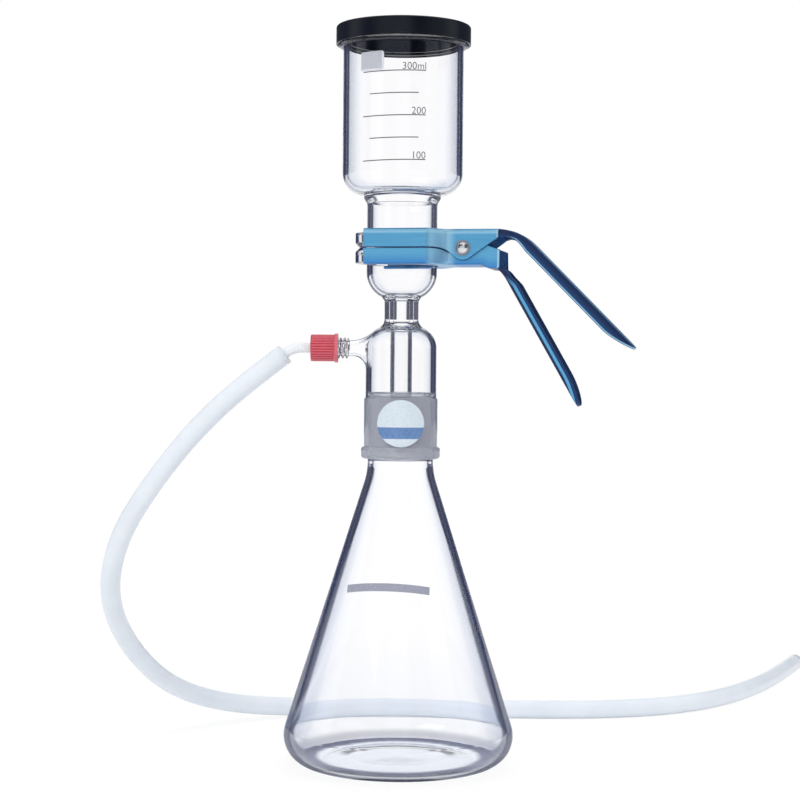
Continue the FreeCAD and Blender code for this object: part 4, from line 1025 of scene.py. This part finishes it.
# the lips' edges along the jaws, x and z, which part in a dip round the ears
UPPER_EDGE = (
    (-19, 314.9), (25.5, 314.9), (27.5, 314.6), (29.3, 314.1), (31.0, 313.3), (32.5, 312.3),
    (34.0, 311.0), (35.3, 309.8), (36.36, 309.0), (45.16, 309.07), (49.0, 311.8),
    (BODY_END, UPPER_JAW_END),
)
LOWER_EDGE = (
    (-19, 314.6), (25.5, 314.6), (27.5, 314.3), (29.3, 313.8), (31.0, 313.0), (32.2, 312.0),
    (32.5, 314.9), (34.2, 318.6), (44.84, 320.96), (55.8, 316.5), (BODY_END, 314.1),
)


def in_clamp(x, y, z):
    """Points in metres, from places in mm in the clamp's own frame, whose X runs from the glass
    axis to the handles."""
    cosine, sine = cos(CLAMP_TURN), sin(CLAMP_TURN)
    return np.stack((x * cosine + y * sine, y * cosine - x * sine, z), -1) / 1000


def runs(length, bend):
    """Places along the run: the fork's arms, the round of its gap, then every 0.7 mm up to the
    handle's bend and every 0.8 mm after that."""
    arms = np.linspace(FORK_BACK, 0, 12)[:-1]
    fork = FORK_GAP * np.sin(np.linspace(0, pi / 2, 19))
    body = np.arange(FORK_GAP + 0.7, bend, 0.7)
    return np.concatenate((arms, fork, body, np.arange(bend, length, 0.8), [length]))


def lever_side(run, height, bends):
    """A lever's web seen from the side, level at a height where it starts. Its heading turns down
    by each angle between two places of the run, and the heading's cosine and sine add up along
    the run to the place. Gives x, z and the heading."""
    heading = sum(radians(angle) * smooth_step((run - a) / (b - a)) for a, b, angle in bends)
    step = np.diff(run)
    middle = (heading[1:] + heading[:-1]) / 2
    x = FORK_BACK + np.concatenate(([0], (step * np.cos(middle)).cumsum()))
    z = height - np.concatenate(([0], (step * np.sin(middle)).cumsum()))
    return x, z, heading


def half_width(run, body, shoulder, neck_start, neck):
    """Half a lever's width: the fork's, eased to the body's and to the handle's, less
    r - sqrt(r^2 - d^2) in the tip's corners."""
    half = body + (FORK_HALF - body) * (1 - smooth_step((run - SHOULDER) / shoulder))
    half = half - (body - HANDLE_HALF) * smooth_step((run - neck_start) / neck)
    past = np.maximum(run - (run[-1] - TIP_CORNER), 0)
    return half - (TIP_CORNER - np.sqrt(np.maximum(TIP_CORNER**2 - past**2, 0)))


def jaw_edge(x, points, ear_sign):
    """The height of the lip's edge along the jaw: straight lines between points, and the ear's
    circle where it reaches past them. ear_sign is -1 where the ear hangs down."""
    edge = np.interp(x, *np.array(points).T)
    ear = PIVOT_Z + ear_sign * np.sqrt(np.maximum(EAR_RADIUS**2 - (x - PIVOT_X) ** 2, 0))
    furthest = (np.minimum if ear_sign < 0 else np.maximum)(edge, ear)
    return np.where(np.abs(x - PIVOT_X) < EAR_RADIUS * EAR_SHARE, furthest, edge)


def handle_depth(run, places, depths, power):
    """How deep the handle's lips are: straight lines between places, then down to the sheet's
    own thickness at the tip, by 1 - t^power."""
    taper_start = run[-1] - TAPER
    tail = np.clip((run - taper_start) / TAPER, 0, 1)
    tapered = SHEET + (depths[-1] - SHEET) * (1 - tail**power)
    return np.where(run > taper_start, tapered, np.interp(run, [*places, taper_start], depths))


def folded_sheet(run, path, half, depth, side, lip_heading):
    """A web with a lip folded from each of its sides, as two grids: the web from the gap or the
    middle outward, a quarter circle, the lip to its edge, and the same mirrored. side is -1 for
    lips that hang down and 1 for lips that stand up. Marks: the run, the distance past the fold
    along the sheet, and the distance from the lip's edge."""
    x, z, heading = path
    gap = np.sqrt(np.maximum(FORK_GAP**2 - np.maximum(x, 0) ** 2, 0)) * (x < FORK_GAP)
    fold = np.minimum(FOLD, depth * 0.6)
    flat = np.linspace(0, 1, 15)[:, None]
    web_y = gap + flat * (half - fold - gap)
    bend = np.linspace(0, pi / 2, 9)[1:, None]
    fold_y, fold_in = half - fold + fold * np.sin(bend), fold * (1 - np.cos(bend))
    lip_in = fold + flat[1:] * (depth - fold)
    y = np.concatenate((web_y, fold_y, np.broadcast_to(half, lip_in.shape)))
    inward = np.concatenate((0 * web_y, fold_in, lip_in))
    lean = np.where(inward > fold, lip_heading, heading)
    near, far = np.minimum(inward, fold), np.maximum(inward - fold, 0)
    on_x = x + side * (np.sin(heading) * near + np.sin(lean) * far)
    on_z = z + side * (np.cos(heading) * near + np.cos(lean) * far)
    edge = np.broadcast_to(depth, inward.shape) - inward
    marks = np.stack((np.broadcast_to(run, y.shape), y - half + inward, edge), -1)
    left, right = (
        np.concatenate((in_clamp(on_x, hand * y, on_z), marks), -1) for hand in (-1, 1)
    )
    return [left, right[::-1]]


def make_lever(name, grids, outer, node, middle):
    """A lever from its folded surface: a sheet with worn edges, and with its inner side in a
    material of its own, painted in shade colours."""
    piece = new_piece(name, grids, outer, name, [node], middle)
    piece.data.materials.append(inner_side)
    sheet = piece.modifiers.new("sheet", "SOLIDIFY")
    sheet.thickness = SHEET / 1000
    sheet.offset = -1
    sheet.use_even_offset = True
    sheet.material_offset = 1
    sheet.material_offset_rim = 0
    worn = piece.modifiers.new("edges", "BEVEL")
    worn.width = WORN_EDGE / 1000
    worn.segments = 2
    worn.limit_method = "ANGLE"
    worn.angle_limit = radians(50)


def marks_of(start):
    """The marks of a lever, in mm: the run, the distance past the fold, and that from the edge."""
    return start.node("Attribute", out="Vector", attribute_name="marks").axes()


def anodised(name, jaw_tint, handle, light, low, high, under_dark):
    """Blue anodising over metal brushed along the sheet. The jaws and webs are sky blue, with
    painted shade in a dark line at the lip's edge, and painted highlights at the shoulder and the
    body's end.
    The handle's lips are in painted shade, darker toward the fold, with a painted highlight line
    between two distances from the edge. under_dark is 1 for a lever whose web is in painted shade
    from its step on, and 0 for the other."""
    start, ended = new_finish(name)
    run, past, edge = marks_of(start)
    place = start.node("CombineXYZ", {0: run * 0.012, 1: past, 2: 0.0})
    brushed = start.node("TexNoise", {"Vector": place, "Scale": 2.2, "Detail": 4.0})
    streak = brushed.step(0.25, 0.75)
    fine = start.node("TexNoise", {"Vector": start.node("TexCoord", out=3), "Scale": 1500.0})
    jaw = jaw_tint(past, streak)
    # painted highlight: a pale band at the shoulder
    jaw = (run.band(19.5, 24.0, 32.0, 37.0) * 0.55).blend(jaw, (170, 214, 236))
    # painted highlight: a pale line at the body's end
    body_end_highlight = run.step(61.0, 61.4) * past.step(0.0, 0.8)
    jaw = (body_end_highlight * 0.65).blend(jaw, (206, 232, 246))
    # painted shade: a dark line along the lip's edge
    jaw = (1.0 - edge.step(0.15, 0.6)).blend(jaw, (22, 66, 116))
    # painted shade: the handle's lips in navy, darker toward the fold, with a painted highlight
    # line
    dark = streak.blend([c * 0.86 for c in handle], handle)
    dark = (1.0 - past.step(2.0, 6.0)).blend(dark, (24, 48, 90))
    along_handle = run.step(66.0, 78.0)
    in_line = edge.step(low - 0.15, low + 0.15)
    dark = ((1.0 - in_line) * along_handle).blend(dark, (28, 62, 112))
    line = in_line * (1.0 - edge.step(high - 0.25, high + 0.25))
    dark = (line * along_handle).blend(dark, light)
    # painted shade: the lower lever's web, dark and not metallic from its step on
    web = 1.0 - past.step(-2.4, -0.6)
    under_shade = run.step(49.0, 52.0) * web * under_dark
    handle_shade_mask = run.step(61.6, 62.4) * (1.0 - web * (1.0 - under_dark))
    return ended(start.node("BsdfPrincipled", {
        "Base Color": handle_shade_mask.larger(under_shade).blend(jaw, dark),
        "Metallic": 0.6 - 0.6 * under_shade,
        "Roughness": 0.36 + 0.08 * streak,
        "Normal": bump(streak + fine * 0.2, 0.08, 0.0001),
    }))


def upper_tint(past, streak):
    """A painted highlight just below the fold, and painted shade in a dark line along it."""
    sky = streak.blend((82, 158, 204), (100, 174, 216))
    # painted highlight below the fold
    sky = (past.band(0.4, 1.0, 2.4, 3.6) * 0.7).blend(sky, (160, 212, 238))
    # painted shade: a dark line along the fold
    return ((1.0 - past.step(-0.6, 0.2)) * 0.5).blend(sky, (60, 118, 168))


def lower_tint(past, streak):
    """Painted shade: deeper blue toward the fold at its foot."""
    deep = streak.blend((58, 132, 200), (72, 146, 210))
    return past.step(0.0, 7.0).blend(deep, (96, 172, 214))


def shade_look(place):
    """The inner side of the sheet: painted shade in a deeper blue, navy in the handle, with clouds
    in the dye.
    """
    run = marks_of(place)[0]
    cloud = noise(place, 90.0).step(0.3, 0.7)
    jaw = cloud.blend((76, 136, 196), (92, 154, 210))
    # painted shade: navy in the handle's gutter
    handle = run.step(63.0, 69.0).blend(jaw, (32, 64, 112))
    return {"Base Color": handle, "Roughness": 0.45 + 0.1 * cloud}


inner_side = surface("anodised_inner_side", {"Metallic": 0.2}, shade_look)

# the upper lever, whose lips run on through the neck of its handle
run = runs(UPPER_RUN, BODY_END - 4)
path = lever_side(run, UPPER_FACE, UPPER_BENDS)
x, z, heading = path
neck_depths = (UPPER_FACE - UPPER_JAW_END, 4.4, 4.6, 6.5, 6.5)
in_handle = handle_depth(run, (BODY_END, 66, 74, 84), neck_depths, 1.6)
in_jaw = (z - jaw_edge(x, UPPER_EDGE, -1)) / np.cos(heading)
depth = np.where(run < BODY_END, in_jaw, in_handle)
half = half_width(run, UPPER_HALF, 11.5, 61, 9)
make_lever(
    "upper_lever",
    folded_sheet(run, path, half, depth, -1, heading),
    # the handle's painted shade colour and its painted highlight line
    anodised("anodised_upper", upper_tint, (34, 80, 136), (150, 200, 232), 0.4, 1.1, 0.0),
    "clamp_upper_lever",
    middle=(0, 0, 0.2),
)

# the lower lever, whose web steps down just before the handle
run = runs(LOWER_RUN, 48.0)
path = lever_side(run, LOWER_FACE, LOWER_BENDS)
x, z, heading = path
in_handle = handle_depth(run, (62.6, 66, 75), (2.2, 3.0, 5.3, 5.3), 2)
depth = np.where(x < BODY_END, jaw_edge(x, LOWER_EDGE, 1) - z, in_handle)
half = half_width(run, LOWER_HALF, 12, BODY_END, 7)
lip_heading = heading * smooth_step((run - BODY_END) / 4)
make_lever(
    "lower_lever",
    folded_sheet(run, path, half, depth, 1, lip_heading),
    # the handle's painted shade colour and its painted highlight line
    anodised("anodised_lower", lower_tint, (34, 76, 130), (96, 172, 218), 1.7, 3.4, 1.0),
    "clamp_lower_lever",
    middle=(0.15, 0, 0.45),
)


# ---------------------------------------------------------------- the pivot and the spring

# A polished steel rivet with a washer at each end holds the levers together, and a spring of hard
# drawn wire is wound round it, with a leg against each lever. The spring is modelled as two
# halves.

COIL_WIRE = 0.6
COIL_RADIUS = 4.4
COIL_HALF = 5.95
COIL_TURNS = 8.5
LEG_REACH = 15.0
LEG_CLEARANCE = 1.0


def polished_look(place):
    """Polished steel with faint hairlines, turning darker from 2.6 to 3.8 mm out from the pivot's
    axis and staying so beyond.
    """
    x, y, z = place.axes()
    off = x * cos(CLAMP_TURN) - y * sin(CLAMP_TURN) - PIVOT_X / 1000
    up = z - PIVOT_Z / 1000
    ring = ((off * off + up * up) ** 0.5).step(0.0026, 0.0038)
    hair = noise(place, 60.0, 2.0, (1, 12, 12)).step(0.3, 0.7)
    steel = hair.blend((198, 200, 206), (226, 228, 232))
    darker_outside = (ring * 0.8).blend(steel, (112, 106, 118))
    return {"Base Color": darker_outside, "Roughness": 0.14 + 0.08 * hair}


polished = surface("bright_steel", {"Metallic": 1.0}, polished_look)
for node in ("clamp_pivot_rivet", "clamp_washer_front", "clamp_washer_back"):
    dress(node, polished)

# hard drawn wire is dull, with marks of the die
die_marks = (700.0, 2.0, 0.3, 0.7), (142, 144, 150), (168, 170, 176), 0.28, 0.12
spring_steel = plain("spring_steel", {"Metallic": 1.0}, *die_marks)

# a straight leg from its tip, then a helix to the coil's middle, whose angle grows evenly with the
# way along the rivet. The wire thins to nothing at both ends, which closes them. The lower half is
# the upper one turned half round
half_wind = COIL_TURNS * pi
wind = np.append(np.linspace(0, half_wind, 171), half_wind + 0.005)
for half_name, lever, hand, web in (
    ("spring_upper_half", "upper_lever", 1, UPPER_FACE - PIVOT_Z),
    ("spring_lower_half", "lower_lever", -1, PIVOT_Z - LOWER_FACE),
):
    tip = np.array([LEG_REACH, COIL_HALF, web - SHEET - LEG_CLEARANCE])
    root = np.array([0, COIL_HALF, COIL_RADIUS])
    along_leg = np.array([0, 0.05, 0.15, 1, 5, 9, 13])[:, None]
    leg = tip + (root - tip) / np.linalg.norm(root - tip) * along_leg
    along = COIL_HALF * (1 - wind / half_wind)
    coil = np.stack((-COIL_RADIUS * np.sin(wind), along, COIL_RADIUS * np.cos(wind)), -1)
    line = np.vstack((leg, coil)) * (1, hand, hand)
    thick = np.full(len(line), COIL_WIRE)
    thick[:2], thick[-1] = (0, COIL_WIRE - 0.1), 0
    middle = in_clamp(PIVOT_X + line[:, 0], line[:, 1], PIVOT_Z + line[:, 2])
    skin = [ring_of(middle, thick / 1000, 16)]
    spring = new_piece(half_name, skin, spring_steel, None, ["clamp_spring"])
    ends = [in_clamp(PIVOT_X, hand * y, PIVOT_Z) for y in (0, COIL_HALF - COIL_WIRE)]
    tuple(ends[0])
    tuple(ends[1])
    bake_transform(spring)


# ---------------------------------------------------------------- the floor, the lamps and the air

# A pale floor that looks white but keeps the unit's shadow close to it, three soft lamps, and a
# white surround.

FLOOR_REACH = 6.0


def rays(start):
    """Whether a ray comes from the camera, off something shiny, or through glass: 0 or 1 each."""
    kinds = "Is Camera Ray", "Is Glossy Ray", "Is Transmission Ray"
    return [start.node("LightPath", out=kind) for kind in kinds]


corners = [(-1, -1), (1, -1), (1, 1), (-1, 1)]
corners = [(FLOOR_REACH * x, FLOOR_REACH * y, 0) for x, y in corners]
floor_mesh = bpy.data.meshes.new("floor")
floor_mesh.from_pydata(corners, [], [(0, 1, 2, 3)])
floor = added("floor", floor_mesh)
start, ended = new_finish("white_floor")
camera_ray, glossy_ray, glass_ray = rays(start)
seen = camera_ray.larger(glossy_ray).larger(glass_ray)
x, y, _ = start.node("TexCoord", out=3).axes()
away = ((x * x + y * y) ** 0.5).step(0.15, 0.7)
lit = start.node("BsdfDiffuse", {"Color": colour(250, 250, 250)})
glow = start.node("Emission", {"Color": (1, 1, 1, 1), "Strength": 1.04})
floor_shader = start.node("MixShader", {0: seen * (0.8 + 0.2 * away), 1: lit, 2: glow})
floor_mesh.materials.append(ended(floor_shader))


def lamp(name, place, aim, size, power):
    """A rectangular soft lamp, in watts, that isn't itself reflected."""
    light = bpy.data.lights.new(name, "AREA")
    light.shape = "RECTANGLE"
    light.size, light.size_y = size
    light.energy = power
    holder = added(name, light)
    holder.location = place
    direction = Vector(aim) - Vector(place)
    holder.rotation_euler = direction.to_track_quat("-Z", "Y").to_euler()
    holder.visible_glossy = False


lamp("key", (-1.1, -1.2, 1.3), (0, 0, 0.25), (0.9, 0.9), 10)
lamp("fill", (1.4, -0.9, 0.9), (0, 0, 0.2), (0.9, 1.2), 5)
lamp("top", (0.1, 0.3, 1.9), (0, 0, 0.2), (1.2, 1.2), 8)

# Seen through the glass, the air has white windows in front, behind and at both sides, with dark
# flags between them, so that the edges of the glass draw dark lines. Metal reflects soft boxes.
world = bpy.data.worlds.new("air")
bpy.context.scene.world = world
world.use_nodes = True
world.node_tree.nodes.clear()
output = world.node_tree.nodes.new("ShaderNodeOutputWorld")
start = Wire(world.node_tree)
x, y, z = start.node("TexCoord").axes()
camera_ray, glossy_ray, glass_ray = rays(start)
window = (y.math("ARCTAN2", x) * 4.0).math("COSINE").step(0.45, 0.75)
high = abs(z).step(0.62, 0.78)
left_box = (y * -0.92 - x * 0.39).step(0.80, 0.97)
right_box = (x * 0.94 - y * 0.34).step(0.75, 0.95)
boxes = 0.08 + 0.85 * left_box + 0.4 * right_box
shown = window.larger(high).larger(boxes * glossy_ray)
soft = start.node("Background", {"Color": (1, 1, 1, 1), "Strength": 0.6})
bright = start.node("Background", {"Color": (1, 1, 1, 1), "Strength": 1.0})
dark = start.node("Background", {"Color": colour(34, 40, 70), "Strength": 1.0})
studio = start.node("MixShader", {0: shown, 1: dark, 2: bright})
air = start.node("MixShader", {0: glossy_ray.larger(glass_ray), 1: soft, 2: studio})
air = start.node("MixShader", {0: camera_ray, 1: air, 2: bright})
world.node_tree.links.new(air.socket, output.inputs[0])
